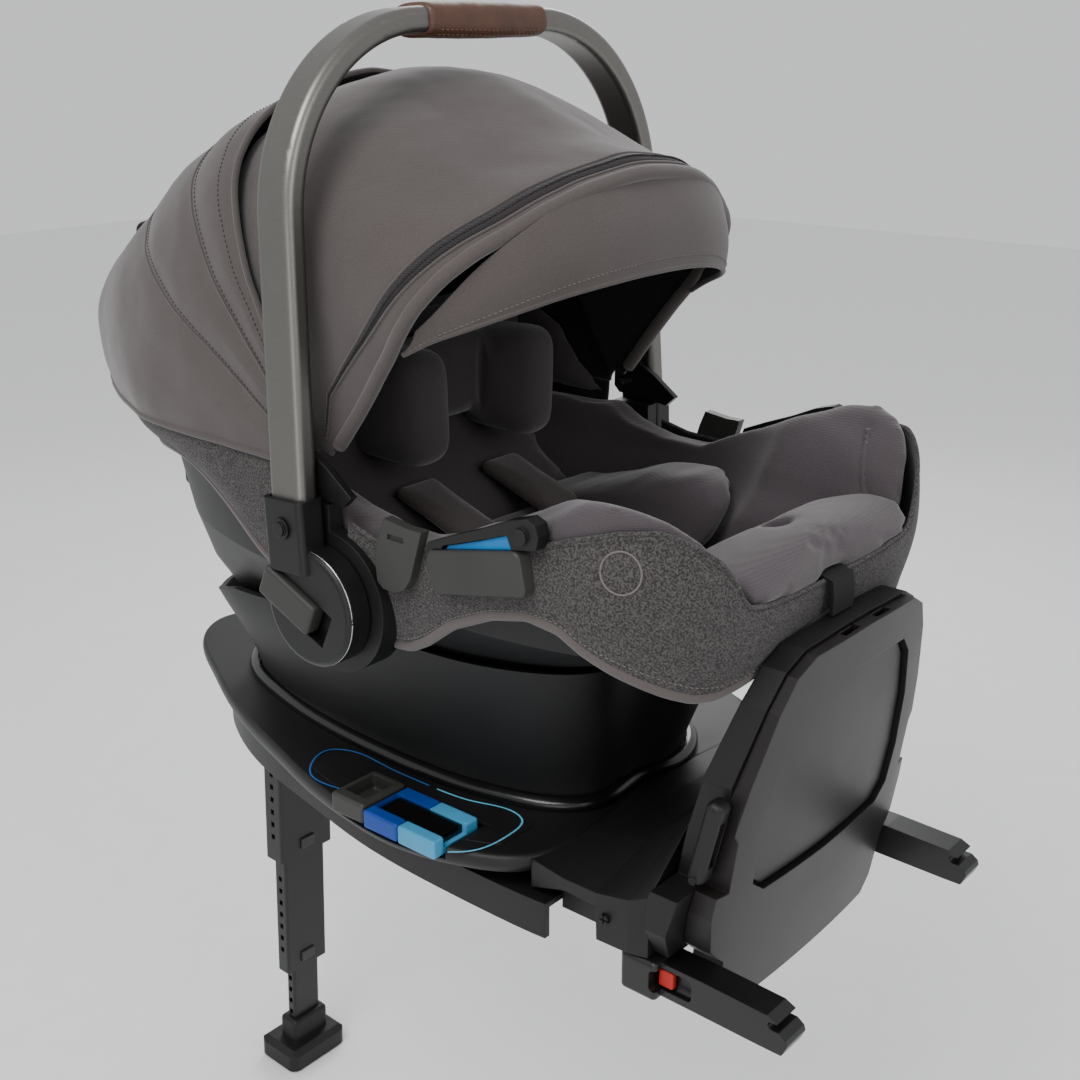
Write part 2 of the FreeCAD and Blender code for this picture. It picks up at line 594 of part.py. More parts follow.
def arch_path(offset, foot):
    """Edges of the arch's line moved outwards by offset: leg, corner, top bar, corner, leg."""
    lean = math.radians(HANDLE_TAPER)
    inward = V(math.cos(lean), 0, -math.sin(lean))
    up = V(math.sin(lean), 0, math.cos(lean))
    centre_z = HANDLE_TOP - HANDLE_BEND
    centre_x = -HANDLE_HALF + (HANDLE_BEND + (centre_z - HANDLE_FOOT) * math.sin(lean)) / math.cos(lean)
    centre = V(centre_x, 0, centre_z)
    radius = HANDLE_BEND + offset
    knee = centre - inward * radius
    half_turn = math.radians(45 + 0.5 * HANDLE_TAPER)
    middle = centre + V(-math.sin(half_turn) * radius, 0, math.cos(half_turn) * radius)
    crown = centre + V(0, 0, radius)
    start = knee - up * ((knee.z - foot) / up.z)

    def other(p):
        return V(-p.x, p.y, p.z)
    return [Part.makeLine(start, knee), Part.Arc(knee, middle, crown).toShape(), Part.makeLine(crown, other(crown)),
            Part.Arc(other(crown), other(middle), other(knee)).toShape(), Part.makeLine(other(knee), other(start)),
            Part.makeLine(other(start), start)]


def arch_solid(grow, width, foot):
    """The U of the handle, width along Y."""
    outer = Part.Face(Part.Wire(arch_path(0.5 * HANDLE_T + grow, foot)))
    inner = Part.Face(Part.Wire(arch_path(-0.5 * HANDLE_T - grow, foot - 1)))
    solid = outer.cut(inner).extrude(V(0, width, 0))
    solid.translate(V(0, -0.5 * width, 0))
    return solid


def handle_tube():
    solid = arch_solid(0.0, HANDLE_W, HANDLE_FOOT)
    long_edges = [e for e in solid.Edges if abs(abs(e.CenterOfMass.y) - 0.5 * HANDLE_W) < 0.01 and e.Length > 40]
    return leaned(solid.makeFillet(6.5, long_edges))


def handle_grip():
    grip = rounded_bar(-66, 66, -21.5, 21.5, HANDLE_TOP - 13, HANDLE_TOP + 13, 9.0)
    return leaned(grip).cut(leaned(arch_solid(0.05, HANDLE_W + 0.1, HANDLE_FOOT)))


def handle_arm():
    """Moulded arm: hub disc with the button's track, and the socket for the tube."""
    socket = box(-233.5, -208.5, -21, 21, 262, 318)
    socket = leaned(rounded_along(socket, V(0, 0, 1), 5.0))
    disc = Part.makeCylinder(46.0, 21.0, V(-229, HUB_Y, HUB_Z), V(1, 0, 0))
    edge = [e for e in disc.Edges if abs(e.CenterOfMass.x + 229) < 0.1]
    disc = disc.makeFillet(5.0, edge)
    neck = box(-228, -208.5, 369, 408, 236, 270)
    body = socket.fuse(disc).fuse(neck).cut(leaned(arch_solid(0.05, HANDLE_W + 0.1, HANDLE_FOOT)))
    body = body.fuse(rod(8.0, (-208.5, HUB_Y, HUB_Z), (-190, HUB_Y, HUB_Z)))
    track = box(-260, -219, 346, 420, HUB_Z - 15, HUB_Z + 15)
    return body.cut(turned(track, HUB_Y + 10, HUB_Z, 24.0)).removeSplitter()


def handle_button():
    button = rounded_bar(-234.5, -219.3, 361, 419, HUB_Z - 13.5, HUB_Z + 13.5, 3.5)
    return turned(button, HUB_Y + 10, HUB_Z, 24.0)


def handle_rivets():
    heads = []
    for side in (-1, 1):
        y = 388.3
        head = rod(8.5, (side * 233.6, y, 296), (side * 235.4, y, 296))
        heads.append(head.fuse(rod(5.5, (side * 233.6, y, 296), (side * 237.5, y, 296))))
    return Part.makeCompound(heads)


# ---- load leg ----
def leg_tube(width, depth, z0, z1, wall, holes, button_z=None):
    """Rectangular tube with a column of square adjustment holes on each narrow side."""
    tube = box(-width / 2, width / 2, LEG_Y - depth / 2, LEG_Y + depth / 2, z0, z1)
    tube = rounded_along(tube, V(0, 0, 1), 3.0)
    core = box(-width / 2 + wall, width / 2 - wall, LEG_Y - depth / 2 + wall, LEG_Y + depth / 2 - wall,
               z0 - 1, z1 + 1)
    tube = tube.cut(core)
    for step in range(holes):
        z = z0 + 26 + step * 15.0
        tube = tube.cut(box(-80, 80, LEG_Y - 2.5, LEG_Y + 2.5, z, z + 6))
    if button_z is not None:
        tube = tube.cut(box(-9.3, 9.3, LEG_Y - depth, LEG_Y - 0.5 * depth + wall + 1, button_z - 6.3, button_z + 6.3))
    return tube


def leg_leaned(shape):
    return turned(shape, LEG_Y, LEG_Z, LEG_LEAN)


def leg_upper():
    body = leg_tube(70, 26, -190, -34, 3.0, 8, UPPER_BUTTON_Z)
    knuckle = rod(15.0, (-35, LEG_Y, LEG_Z), (35, LEG_Y, LEG_Z))
    body = body.fuse(knuckle.cut(box(-31.5, 31.5, 600, 800, -100, 20)))
    return leg_leaned(body.cut(rod(5.05, (-60, LEG_Y, LEG_Z), (60, LEG_Y, LEG_Z))))


def leg_pins():
    """A stub pin in each ear of the clevis, clear of the stages that slide up between them."""
    stub = rod(5.0, (-43.5, LEG_Y, LEG_Z), (-31.7, LEG_Y, LEG_Z))
    return [stub, mirrored(stub)]


def leg_middle():
    return leg_leaned(leg_tube(55, 18, -336, -150, 2.5, 7, MIDDLE_BUTTON_Z))


def leg_lower():
    bar = leg_tube(36, 12.4, -424, -290, 2.0, 6)
    return leg_leaned(bar)


def leg_foot():
    foot = box(-39, 39, LEG_Y - 27, LEG_Y + 31, -454, -430)
    foot = foot.makeChamfer(6.0, [e for e in foot.Edges if e.CenterOfMass.z > -431])
    foot = rounded_along(foot, V(0, 0, 1), 10.0)
    neck = rounded_bar(-24, 24, LEG_Y - 13, LEG_Y + 13, -446, -402, 5.0)
    return leg_leaned(foot.fuse(neck)).cut(leg_lower())


def leg_button(z, depth):
    """Push button through a leg stage's wide face, on the foot end's side."""
    face = LEG_Y - 0.5 * depth
    return leg_leaned(rounded_bar(-9, 9, face - 2.5, face + 1.0, z - 6, z + 6, 1.2))


# ---- lower-anchor connectors ----
def anchor_arm():
    x0, x1 = -ANCHOR_HALF - ARM_W / 2, -ANCHOR_HALF + ARM_W / 2
    profile = [(-13, -11), (-9, 1), (4, 7), (60, 9), (128, 9), (128, -18), (60, -19), (8, -20), (-9, -20)]
    arm = side_prism(profile, ARM_W / 2)
    arm.translate(V(-ANCHOR_HALF, 0, 0))
    arm = rounded_along(arm, V(1, 0, 0), 2.0)
    throat = box(x0 - 1, x1 + 1, -40, 0, -JAW_GAP_R, JAW_GAP_R)
    throat = throat.fuse(rod(JAW_GAP_R, (x0 - 1, 0, 0), (x1 + 1, 0, 0)))
    throat = throat.fuse(side_prism([(-40, -26), (-6, -JAW_GAP_R), (-6, JAW_GAP_R), (-40, 26)], 400))
    head = rounded_bar(x0 - 8, x1 + 2, 92, 124, -21, 11, 4.0)
    pocket = rounded_bar(x0 - 12, x0 + 7, 66, 98, -13, 5, 4.0)
    cavity = box(x0 + 4, x1 - 4, 8, 62, -17, 5)
    pin = rod(2.0, (x0 + 3.9, 40, -5), (x1 - 3.9, 40, -5))
    return arm.fuse(head).cut(throat).cut(pocket).cut(cavity).fuse(pin)


def anchor_release():
    x0 = -ANCHOR_HALF - ARM_W / 2
    return rounded_bar(x0 + 0.5, x0 + 6.5, 82.5, 95.5, -11, 3, 2.0)


def anchor_hook():
    """Sprung claw inside the jaw."""
    plate = side_prism([(12, -8), (12, -1), (32, 0), (48, 0), (54, -3), (54, -7), (48, -10), (32, -10)], 3.0)
    plate.translate(V(-ANCHOR_HALF, 0, 0))
    return plate.cut(rod(2.05, (-200, 40, -5), (-100, 40, -5)))


def base_screws():
    head = rod(SCREW_R, (160, 136, 33), (165.5, 136, 33))
    return head.cut(box(162.5, 170, 135.4, 136.6, 20, 50)).cut(box(162.5, 170, 130, 142, 32.4, 33.6))


def pair(shape):
    """A right-hand piece and its mirror image in one node."""
    return Part.makeCompound(shape.Solids + mirrored(shape).Solids)


save("base_lower_shell", base_lower_shell())
save("leg_socket", Part.makeCompound([leg_socket(), *leg_pins()]))
save("base_deck", base_deck())
save("tub_ring", tub_ring())
save("saddle", saddle())
save("base_screws", pair(base_screws()))
save("rebound_panel_outer", rebound_panel_outer())
save("rebound_panel_insert", rebound_panel_insert())
save("rebound_panel_inner", rebound_panel_inner())
save_pair("belt_lock_off", lock_off())
save("gauge_plates", Part.makeCompound([gauge_plate(343, 452), gauge_plate(238, 342.6)]))
save("recline_handle", recline_handle())
save("recline_frame_high", recline_frame(312.2, 350))
save("recline_frame_low", recline_frame(272, 311.8))
save("recline_window", recline_window())
save("recline_tub", recline_tub())
save("dock_bars", dock_bars())
save("carrier_shell", carrier_shell())
save("shell_latch_hooks", shell_latch_hooks())
save("release_housing", release_housing())
save("release_handle", release_handle())
save("side_skirt", side_skirt())
save("seat_pad", seat_pad())
save("tongue_pad", tongue_pad())
save("infant_insert", infant_insert())
save("back_pad", back_pad())
save("head_insert", head_insert())
save("shoulder_pads", pair(shoulder_pad()))
save("harness_webbing", harness_webbing())
save("buckle_body", buckle_body())
save("buckle_button", buckle_button())
save("belt_guides", pair(belt_guide()))
save("guide_covers", pair(guide_cover()))
save("adapter_plates", pair(adapter_plate()))
save("guide_frames", pair(guide_frame()))
save("hub_bases", pair(hub_base()))
save("canopy_brackets", pair(canopy_bracket()))
save("canopy_rear", canopy_part(REAR_FAN, 193.0))
save("canopy_front", canopy_part(FRONT_FAN, 184.0))
save("visor", visor())
save("handle_tube", handle_tube())
save("handle_grip", handle_grip())
save_pair("handle_arm", handle_arm())
save_pair("handle_button", handle_button())
save("handle_rivets", handle_rivets())
save("leg_upper", leg_upper())
save("leg_middle", leg_middle())
save("leg_lower", leg_lower())
save("leg_foot", leg_foot())
save("leg_button_upper", leg_button(UPPER_BUTTON_Z, 26))
save("leg_button_middle", leg_button(MIDDLE_BUTTON_Z, 18))
save_pair("anchor_arm", anchor_arm())
save_pair("anchor_hook", anchor_hook())
save_pair("anchor_release", anchor_release())
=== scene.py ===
"""Looks of the infant car seat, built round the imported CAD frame. Metres in Blender, millimetres in tables."""
import bpy
import json
import math
import numpy as np
from mathutils import Vector, Matrix, noise
from mathutils.bvhtree import BVHTree

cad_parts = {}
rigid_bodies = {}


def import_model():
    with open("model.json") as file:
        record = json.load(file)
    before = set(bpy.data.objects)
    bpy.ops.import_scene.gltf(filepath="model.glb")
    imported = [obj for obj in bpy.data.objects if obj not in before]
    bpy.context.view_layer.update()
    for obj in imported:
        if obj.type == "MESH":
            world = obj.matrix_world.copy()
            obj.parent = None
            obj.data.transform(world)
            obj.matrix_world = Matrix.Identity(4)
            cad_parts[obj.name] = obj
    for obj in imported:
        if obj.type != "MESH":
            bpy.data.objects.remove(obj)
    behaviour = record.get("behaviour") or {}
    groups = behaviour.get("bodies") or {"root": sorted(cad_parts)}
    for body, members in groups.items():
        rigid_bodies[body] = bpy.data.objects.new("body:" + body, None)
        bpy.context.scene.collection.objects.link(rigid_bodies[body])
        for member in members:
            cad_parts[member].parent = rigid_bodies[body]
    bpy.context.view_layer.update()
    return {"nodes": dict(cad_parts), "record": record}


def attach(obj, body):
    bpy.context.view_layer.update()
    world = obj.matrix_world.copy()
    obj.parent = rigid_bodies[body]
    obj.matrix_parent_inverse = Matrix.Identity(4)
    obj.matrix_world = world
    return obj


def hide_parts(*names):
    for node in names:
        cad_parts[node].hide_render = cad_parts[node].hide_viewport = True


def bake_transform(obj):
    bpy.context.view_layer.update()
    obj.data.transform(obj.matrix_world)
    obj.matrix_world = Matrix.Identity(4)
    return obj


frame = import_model()
MM = 0.001
NODES = frame["nodes"]

# ---------------------------------------------------------------- camera and light
cam_data = bpy.data.cameras.new("camera")
cam_data.lens = 49.07
cam_data.sensor_width = 36.0
camera = bpy.data.objects.new("camera", cam_data)
camera.location = (-0.8989, -0.4217, 0.644)
camera.rotation_euler = (math.radians(90 - 19.1), 0.0, math.radians(-49.9))
bpy.context.scene.collection.objects.link(camera)
bpy.context.scene.camera = camera


def area_light(name, place, target, size, power, tint=(1, 1, 1)):
    data = bpy.data.lights.new(name, "AREA")
    data.shape = "DISK"
    data.size = size
    data.energy = power
    data.color = tint
    lamp = bpy.data.objects.new(name, data)
    lamp.location = place
    lamp.rotation_euler = (Vector(target) - Vector(place)).to_track_quat("-Z", "Y").to_euler()
    bpy.context.scene.collection.objects.link(lamp)


area_light("key", (-1.5, 0.1, 2.0), (0, 0.35, 0.3), 1.3, 36)
area_light("front", (-0.4, -2.2, 1.3), (0, 0.3, 0.2), 1.6, 18)
area_light("rim", (1.9, 1.6, 1.5), (0, 0.4, 0.3), 1.2, 22)
area_light("low", (-2.2, -0.9, 0.1), (0, 0.4, -0.1), 1.4, 8)
world = bpy.data.worlds.new("studio")
world.use_nodes = True
world.node_tree.nodes["Background"].inputs[0].default_value = (0.93, 0.94, 0.96, 1)
world.node_tree.nodes["Background"].inputs[1].default_value = 0.85
bpy.context.scene.world = world


# ---------------------------------------------------------------- materials
def nodes_of(name):
    m = bpy.data.materials.new(name)
    m.use_nodes = True
    return m, m.node_tree, m.node_tree.nodes["Principled BSDF"]


def add(tree, kind, **values):
    node = tree.nodes.new(kind)
    for key, value in values.items():
        if hasattr(node, key):
            setattr(node, key, value)
        else:
            node.inputs[key.replace("_", " ")].default_value = value
    return node


def noise_node(tree, coords, size, detail=3.0):
    """Noise whose features are about size metres across."""
    n = add(tree, "ShaderNodeTexNoise", Scale=1.0 / size, Detail=detail)
    tree.links.new(coords.outputs["Object"], n.inputs["Vector"])
    return n


def wave_node(tree, coords, period, turn, distortion=0.6):
    """Straight bands of that period, turned by Euler angles in degrees."""
    mapping = add(tree, "ShaderNodeMapping")
    mapping.inputs["Rotation"].default_value = [math.radians(a) for a in turn]
    tree.links.new(coords.outputs["Object"], mapping.inputs["Vector"])
    w = add(tree, "ShaderNodeTexWave", Scale=0.314 / period, Distortion=distortion, Detail=1.0)
    tree.links.new(mapping.outputs["Vector"], w.inputs["Vector"])
    return w


def blended(tree, factor, low, high, spread):
    """Colour between low and high by a 0 to 1 value, spread tells how hard the change is."""
    ramp = tree.nodes.new("ShaderNodeValToRGB")
    ramp.color_ramp.elements[0].position = 0.5 - spread
    ramp.color_ramp.elements[1].position = 0.5 + spread
    ramp.color_ramp.elements[0].color = (*low, 1)
    ramp.color_ramp.elements[1].color = (*high, 1)
    tree.links.new(factor, ramp.inputs[0])
    return ramp


def scaled(colour, k):
    return tuple(min(1.0, c * k) for c in colour)


def multiply(tree, a, b, amount):
    mix = add(tree, "ShaderNodeMix", data_type="RGBA", blend_type="MULTIPLY")
    mix.inputs[0].default_value = amount
    tree.links.new(a, mix.inputs[6])
    tree.links.new(b, mix.inputs[7])
    return mix


def bump_chain(tree, shader, parts, bevel=0.0):
    """parts: (height socket, strength, distance in metres)."""
    last = None
    if bevel:
        edge = add(tree, "ShaderNodeBevel", samples=4, Radius=bevel)
        last = edge.outputs[0]
    for height, strength, distance in parts:
        b = add(tree, "ShaderNodeBump", Strength=strength, Distance=distance)
        tree.links.new(height, b.inputs["Height"])
        if last:
            tree.links.new(last, b.inputs["Normal"])
        last = b.outputs[0]
    tree.links.new(last, shader.inputs["Normal"])


def plastic(name, base, rough, grain=0.25, mottle=0.12, coat=0.0, bevel=0.0012, metallic=0.0, spec=0.34):
    m, tree, sh = nodes_of(name)
    coords = add(tree, "ShaderNodeTexCoord")
    wide = noise_node(tree, coords, 0.06)
    fine = noise_node(tree, coords, 0.0007, 2.0)
    colour = blended(tree, wide.outputs[0], scaled(base, 1 - mottle), scaled(base, 1 + mottle), 0.2)
    tree.links.new(colour.outputs[0], sh.inputs["Base Color"])
    span = add(tree, "ShaderNodeMapRange")
    span.inputs["To Min"].default_value = rough - 0.05
    span.inputs["To Max"].default_value = rough + 0.07
    tree.links.new(wide.outputs[0], span.inputs["Value"])
    tree.links.new(span.outputs[0], sh.inputs["Roughness"])
    sh.inputs["Metallic"].default_value = metallic
    sh.inputs["Coat Weight"].default_value = coat
    sh.inputs["Coat Roughness"].default_value = 0.15
    sh.inputs["Specular IOR Level"].default_value = spec
    bump_chain(tree, sh, [(fine.outputs[0], grain, 0.00025)], bevel)
    return m


def metal(name, base, rough, stretch=(1, 1, 40), bevel=0.0008):
    """Brushed or anodised metal."""
    m, tree, sh = nodes_of(name)
    coords = add(tree, "ShaderNodeTexCoord")
    mapping = add(tree, "ShaderNodeMapping")
    mapping.inputs["Scale"].default_value = stretch
    tree.links.new(coords.outputs["Object"], mapping.inputs["Vector"])
    lines = add(tree, "ShaderNodeTexNoise", Scale=90.0, Detail=4.0)
    tree.links.new(mapping.outputs[0], lines.inputs["Vector"])
    colour = blended(tree, lines.outputs[0], scaled(base, 0.88), scaled(base, 1.1), 0.3)
    tree.links.new(colour.outputs[0], sh.inputs["Base Color"])
    sh.inputs["Metallic"].default_value = 1.0
    span = add(tree, "ShaderNodeMapRange")
    span.inputs["To Min"].default_value = rough - 0.04
    span.inputs["To Max"].default_value = rough + 0.06
    tree.links.new(lines.outputs[0], span.inputs["Value"])
    tree.links.new(span.outputs[0], sh.inputs["Roughness"])
    bump_chain(tree, sh, [(lines.outputs[0], 0.08, 0.0002)], bevel)
    return m


# thread spacing in metres, direction in degrees, depth of the relief
WEAVES = {"twill": (0.0021, (20, 45, 30), 0.35), "knit": (0.0016, (0, 90, 0), 0.30),
          "stretch": (0.0011, (0, 90, 0), 0.15), "plush": (0.002, (0, 20, 60), 0.3),
          "webbing": (0.0016, (0, 90, 0), 0.6), "mesh": (0.003, (45, 45, 0), 0.6)}


def fabric(name, base, kind, speck=0.2, sheen=0.25, rough=0.9):
    """Woven or knitted cloth; kind is a key of WEAVES, speck is how much single threads vary."""
    m, tree, sh = nodes_of(name)
    coords = add(tree, "ShaderNodeTexCoord")
    wide = noise_node(tree, coords, 0.09)
    thread = noise_node(tree, coords, 0.0015 if kind == "twill" else 0.0011, 2.0)
    tone = blended(tree, wide.outputs[0], scaled(base, 0.93), scaled(base, 1.07), 0.25)
    threads = blended(tree, thread.outputs[0], (1 - speck,) * 3, (1.0, 1.0, 1.0), 0.12)
    mixed = multiply(tree, tone.outputs[0], threads.outputs[0], 1.0)
    period, turn, strength = WEAVES[kind]
    bands = wave_node(tree, coords, period, turn, 1.2 if kind in ("plush", "knit") else 0.5)
    across = wave_node(tree, coords, period, (90 + turn[0], turn[1], 25), 0.5)
    lines = blended(tree, bands.outputs[0], (1 - 0.35 * strength,) * 3, (1.0, 1.0, 1.0), 0.4)
    mixed = multiply(tree, mixed.outputs[2], lines.outputs[0], 1.0)
    tree.links.new(mixed.outputs[2], sh.inputs["Base Color"])
    sh.inputs["Roughness"].default_value = rough
    sh.inputs["Sheen Weight"].default_value = sheen
    sh.inputs["Sheen Roughness"].default_value = 0.5
    sh.inputs["Specular IOR Level"].default_value = 0.2
    bump_chain(tree, sh, [(bands.outputs[0], strength, 0.0003), (across.outputs[0], strength * 0.7, 0.0002),
                          (thread.outputs[0], 0.3, 0.0003)])
    return m


def leather_material(name, base):
    m, tree, sh = nodes_of(name)
    coords = add(tree, "ShaderNodeTexCoord")
    wide = noise_node(tree, coords, 0.02)
    cells = add(tree, "ShaderNodeTexVoronoi", Scale=620.0)
    tree.links.new(coords.outputs["Object"], cells.inputs["Vector"])
    colour = blended(tree, wide.outputs[0], scaled(base, 0.75), scaled(base, 1.25), 0.25)
    tree.links.new(colour.outputs[0], sh.inputs["Base Color"])
    span = add(tree, "ShaderNodeMapRange")
    span.inputs["To Min"].default_value = 0.42
    span.inputs["To Max"].default_value = 0.6
    tree.links.new(wide.outputs[0], span.inputs["Value"])
    tree.links.new(span.outputs[0], sh.inputs["Roughness"])
    bump_chain(tree, sh, [(cells.outputs[0], 0.35, 0.0006), (wide.outputs[0], 0.3, 0.001)])
    return m


MATS = {
    "base_plastic": plastic("base_plastic", (0.0062, 0.0060, 0.0060), 0.47, grain=0.5),
    "tub_plastic": plastic("tub_plastic", (0.0075, 0.0076, 0.0078), 0.54, grain=0.6),
    "gloss_trim": plastic("gloss_trim", (0.004, 0.004, 0.004), 0.22, grain=0.05, spec=0.5),
    "panel_plastic": plastic("panel_plastic", (0.0105, 0.0088, 0.0082), 0.38, grain=0.3),
    "shell_plastic": plastic("shell_plastic", (0.006, 0.006, 0.0062), 0.48, grain=0.4),
    "arm_plastic": plastic("arm_plastic", (0.0052, 0.0052, 0.0054), 0.40, grain=0.3),
    "grey_plastic": plastic("grey_plastic", (0.030, 0.030, 0.0275), 0.45, grain=0.35),
    "bright_blue": plastic("bright_blue", (0.003, 0.155, 0.42), 0.42, grain=0.15),
    "deep_blue": plastic("deep_blue", (0.002, 0.042, 0.26), 0.42, grain=0.15),
    "pale_blue": plastic("pale_blue", (0.045, 0.26, 0.45), 0.45, grain=0.15),
    "window_black": plastic("window_black", (0.002, 0.002, 0.002), 0.14, grain=0.0, bevel=0.0005),
    "red_plastic": plastic("red_plastic", (0.36, 0.015, 0.01), 0.42, grain=0.15),
    "connector_plastic": plastic("connector_plastic", (0.0045, 0.0045, 0.0045), 0.34, grain=0.2, spec=0.45),
    "handle_metal": metal("handle_metal", (0.185, 0.178, 0.165), 0.36),
    "leather": leather_material("leather", (0.070, 0.027, 0.0135)),
    "steel": metal("steel", (0.50, 0.50, 0.50), 0.30, (40, 1, 1)),
    "dark_steel": plastic("dark_steel", (0.02, 0.02, 0.02), 0.38, metallic=0.6, grain=0.1),
    "leg_coat": plastic("leg_coat", (0.010, 0.010, 0.010), 0.40, grain=0.45, coat=0.1),
    "canopy_fabric": fabric("canopy_fabric", (0.074, 0.0615, 0.059), "stretch", 0.14, 0.25),
    "heather_fabric": fabric("heather_fabric", (0.078, 0.071, 0.070), "twill", 0.70, 0.10),
    "knit_fabric": fabric("knit_fabric", (0.062, 0.051, 0.056), "knit", 0.16, 0.28),
    # insert_fabric is the knit colour darkened to about 0.7 times: painted shade for the back pad and head insert
    # deep inside the seat
    "insert_fabric": fabric("insert_fabric", (0.044, 0.036, 0.0395), "knit", 0.16, 0.25),
    "pad_fabric": fabric("pad_fabric", (0.050, 0.039, 0.037), "plush", 0.2, 0.3),
    "webbing": fabric("webbing", (0.006, 0.006, 0.0062), "webbing", 0.2, 0.05, 0.7),
}
LINING = fabric("lining_fabric", (0.016, 0.014, 0.0145), "mesh", 0.3, 0.1)
BINDING = fabric("binding_tape", (0.088, 0.072, 0.070), "stretch", 0.12, 0.25)
THREAD = fabric("thread", (0.15, 0.13, 0.125), "webbing", 0.1, 0.1, 0.75)
DARK_THREAD = fabric("dark_thread", (0.038, 0.032, 0.032), "webbing", 0.1, 0.1, 0.75)
TAN_THREAD = fabric("tan_thread", (0.16, 0.07, 0.035), "webbing", 0.1, 0.1, 0.7)
RIM_METAL = metal("rim_metal", (0.62, 0.62, 0.60), 0.25)
ZIP = fabric("zip_tape", (0.028, 0.024, 0.026), "webbing", 0.25, 0.1, 0.7)

for part in frame["record"]["subparts"]:
    node = NODES[part["node"]]
    for holder in [node] + list(node.children):
        if holder.type == "MESH":
            for held in holder.material_slots:
                held.material = MATS[part["material_slot"]]


# ---------------------------------------------------------------- curves and meshes, millimetres
def spline(ts, ys, t):
    """Natural cubic through (ts, ys), at every t."""
    ts, ys, t = np.asarray(ts, float), np.asarray(ys, float), np.asarray(t, float)
    flat = ys.ndim == 1
    if flat:
        ys = ys[:, None]
    n, h = len(ts), np.diff(ts)
    a, r = np.zeros((n, n)), np.zeros((n, ys.shape[1]))
    a[0, 0] = a[-1, -1] = 1
    for i in range(1, n - 1):
        a[i, i - 1:i + 2] = h[i - 1], 2 * (h[i - 1] + h[i]), h[i]
        r[i] = 6 * ((ys[i + 1] - ys[i]) / h[i] - (ys[i] - ys[i - 1]) / h[i - 1])
    m = np.linalg.solve(a, r)
    k = np.clip(np.searchsorted(ts, t) - 1, 0, n - 2)
    d, w = (t - ts[k])[:, None], h[k][:, None]
    c = (ys[k + 1] - ys[k]) / w - w * (2 * m[k] + m[k + 1]) / 6
    out = ys[k] + d * (c + d * (m[k] / 2 + d * (m[k + 1] - m[k]) / (6 * w)))
    return out[:, 0] if flat else out


def lengths(points):
    return np.concatenate([[0], np.cumsum(np.linalg.norm(np.diff(points, axis=0), axis=1))])


def curve(points, count):
    """Smooth line through points, resampled evenly."""
    points = np.asarray(points, float)
    dense = spline(lengths(points), points, np.linspace(0, lengths(points)[-1], max(400, 3 * count)))
    run = lengths(dense)
    even = np.linspace(0, run[-1], count)
    return np.stack([np.interp(even, run, dense[:, k]) for k in range(points.shape[1])], axis=1)


def mirror_path(half):
    """Points for x >= 0 that start on the middle plane, completed with their mirror images."""
    half = np.asarray(half, float)
    other = half[::-1][:-1] * ([-1] + [1] * (half.shape[1] - 1))
    return np.concatenate([other, half])


def make(name, verts, faces, materials, slots=None, smooth=True):
    mesh = bpy.data.meshes.new(name)
    mesh.from_pydata([tuple(v) for v in np.asarray(verts) * MM], [], faces)
    for mat in materials:
        mesh.materials.append(mat)
    if slots is not None:
        mesh.polygons.foreach_set("material_index", slots)
    mesh.polygons.foreach_set("use_smooth", [smooth] * len(mesh.polygons))
    mesh.update()
    obj = bpy.data.objects.new(name, mesh)
    bpy.context.scene.collection.objects.link(obj)
    return obj


def grid_faces(nu, nv, wrap=False):
    faces = []
    for i in range(nu if wrap else nu - 1):
        for j in range(nv - 1):
            a, b = i * nv + j, ((i + 1) % nu) * nv + j
            faces.append((a, b, b + 1, a + 1))
    return faces


def grid_normals(p):
    du = np.gradient(p, axis=0)
    dv = np.gradient(p, axis=1)
    n = np.cross(du, dv)
    return n / np.maximum(np.linalg.norm(n, axis=2, keepdims=True), 1e-9)


def cloth_shell(name, p, thick, outer, inner, flip=False):
    """A sheet of real thickness over the grid p, whose outer face is p."""
    n = grid_normals(p) * (-1 if flip else 1)
    nu, nv = p.shape[:2]
    verts = np.concatenate([p.reshape(-1, 3), (p - n * thick).reshape(-1, 3)])
    front = grid_faces(nu, nv)
    size = nu * nv
    back = [tuple(size + k for k in reversed(f)) for f in front]
    rim = [i * nv for i in range(nu)] + [(nu - 1) * nv + j for j in range(1, nv)]
    rim += [i * nv + nv - 1 for i in range(nu - 2, -1, -1)] + [j for j in range(nv - 2, 0, -1)]
    edge = [(a, size + a, size + b, b) for a, b in zip(rim, rim[1:] + rim[:1])]
    faces = front + back + edge
    if flip:
        faces = [tuple(reversed(f)) for f in faces]
    slots = [0] * len(front) + [1] * len(back) + [0] * len(edge)
    return make(name, verts, faces, [outer, inner], slots)


def frames_along(path):
    """Unit tangents of a path."""
    tangent = np.gradient(path, axis=0)
    tangent /= np.maximum(np.linalg.norm(tangent, axis=1, keepdims=True), 1e-9)
    return tangent


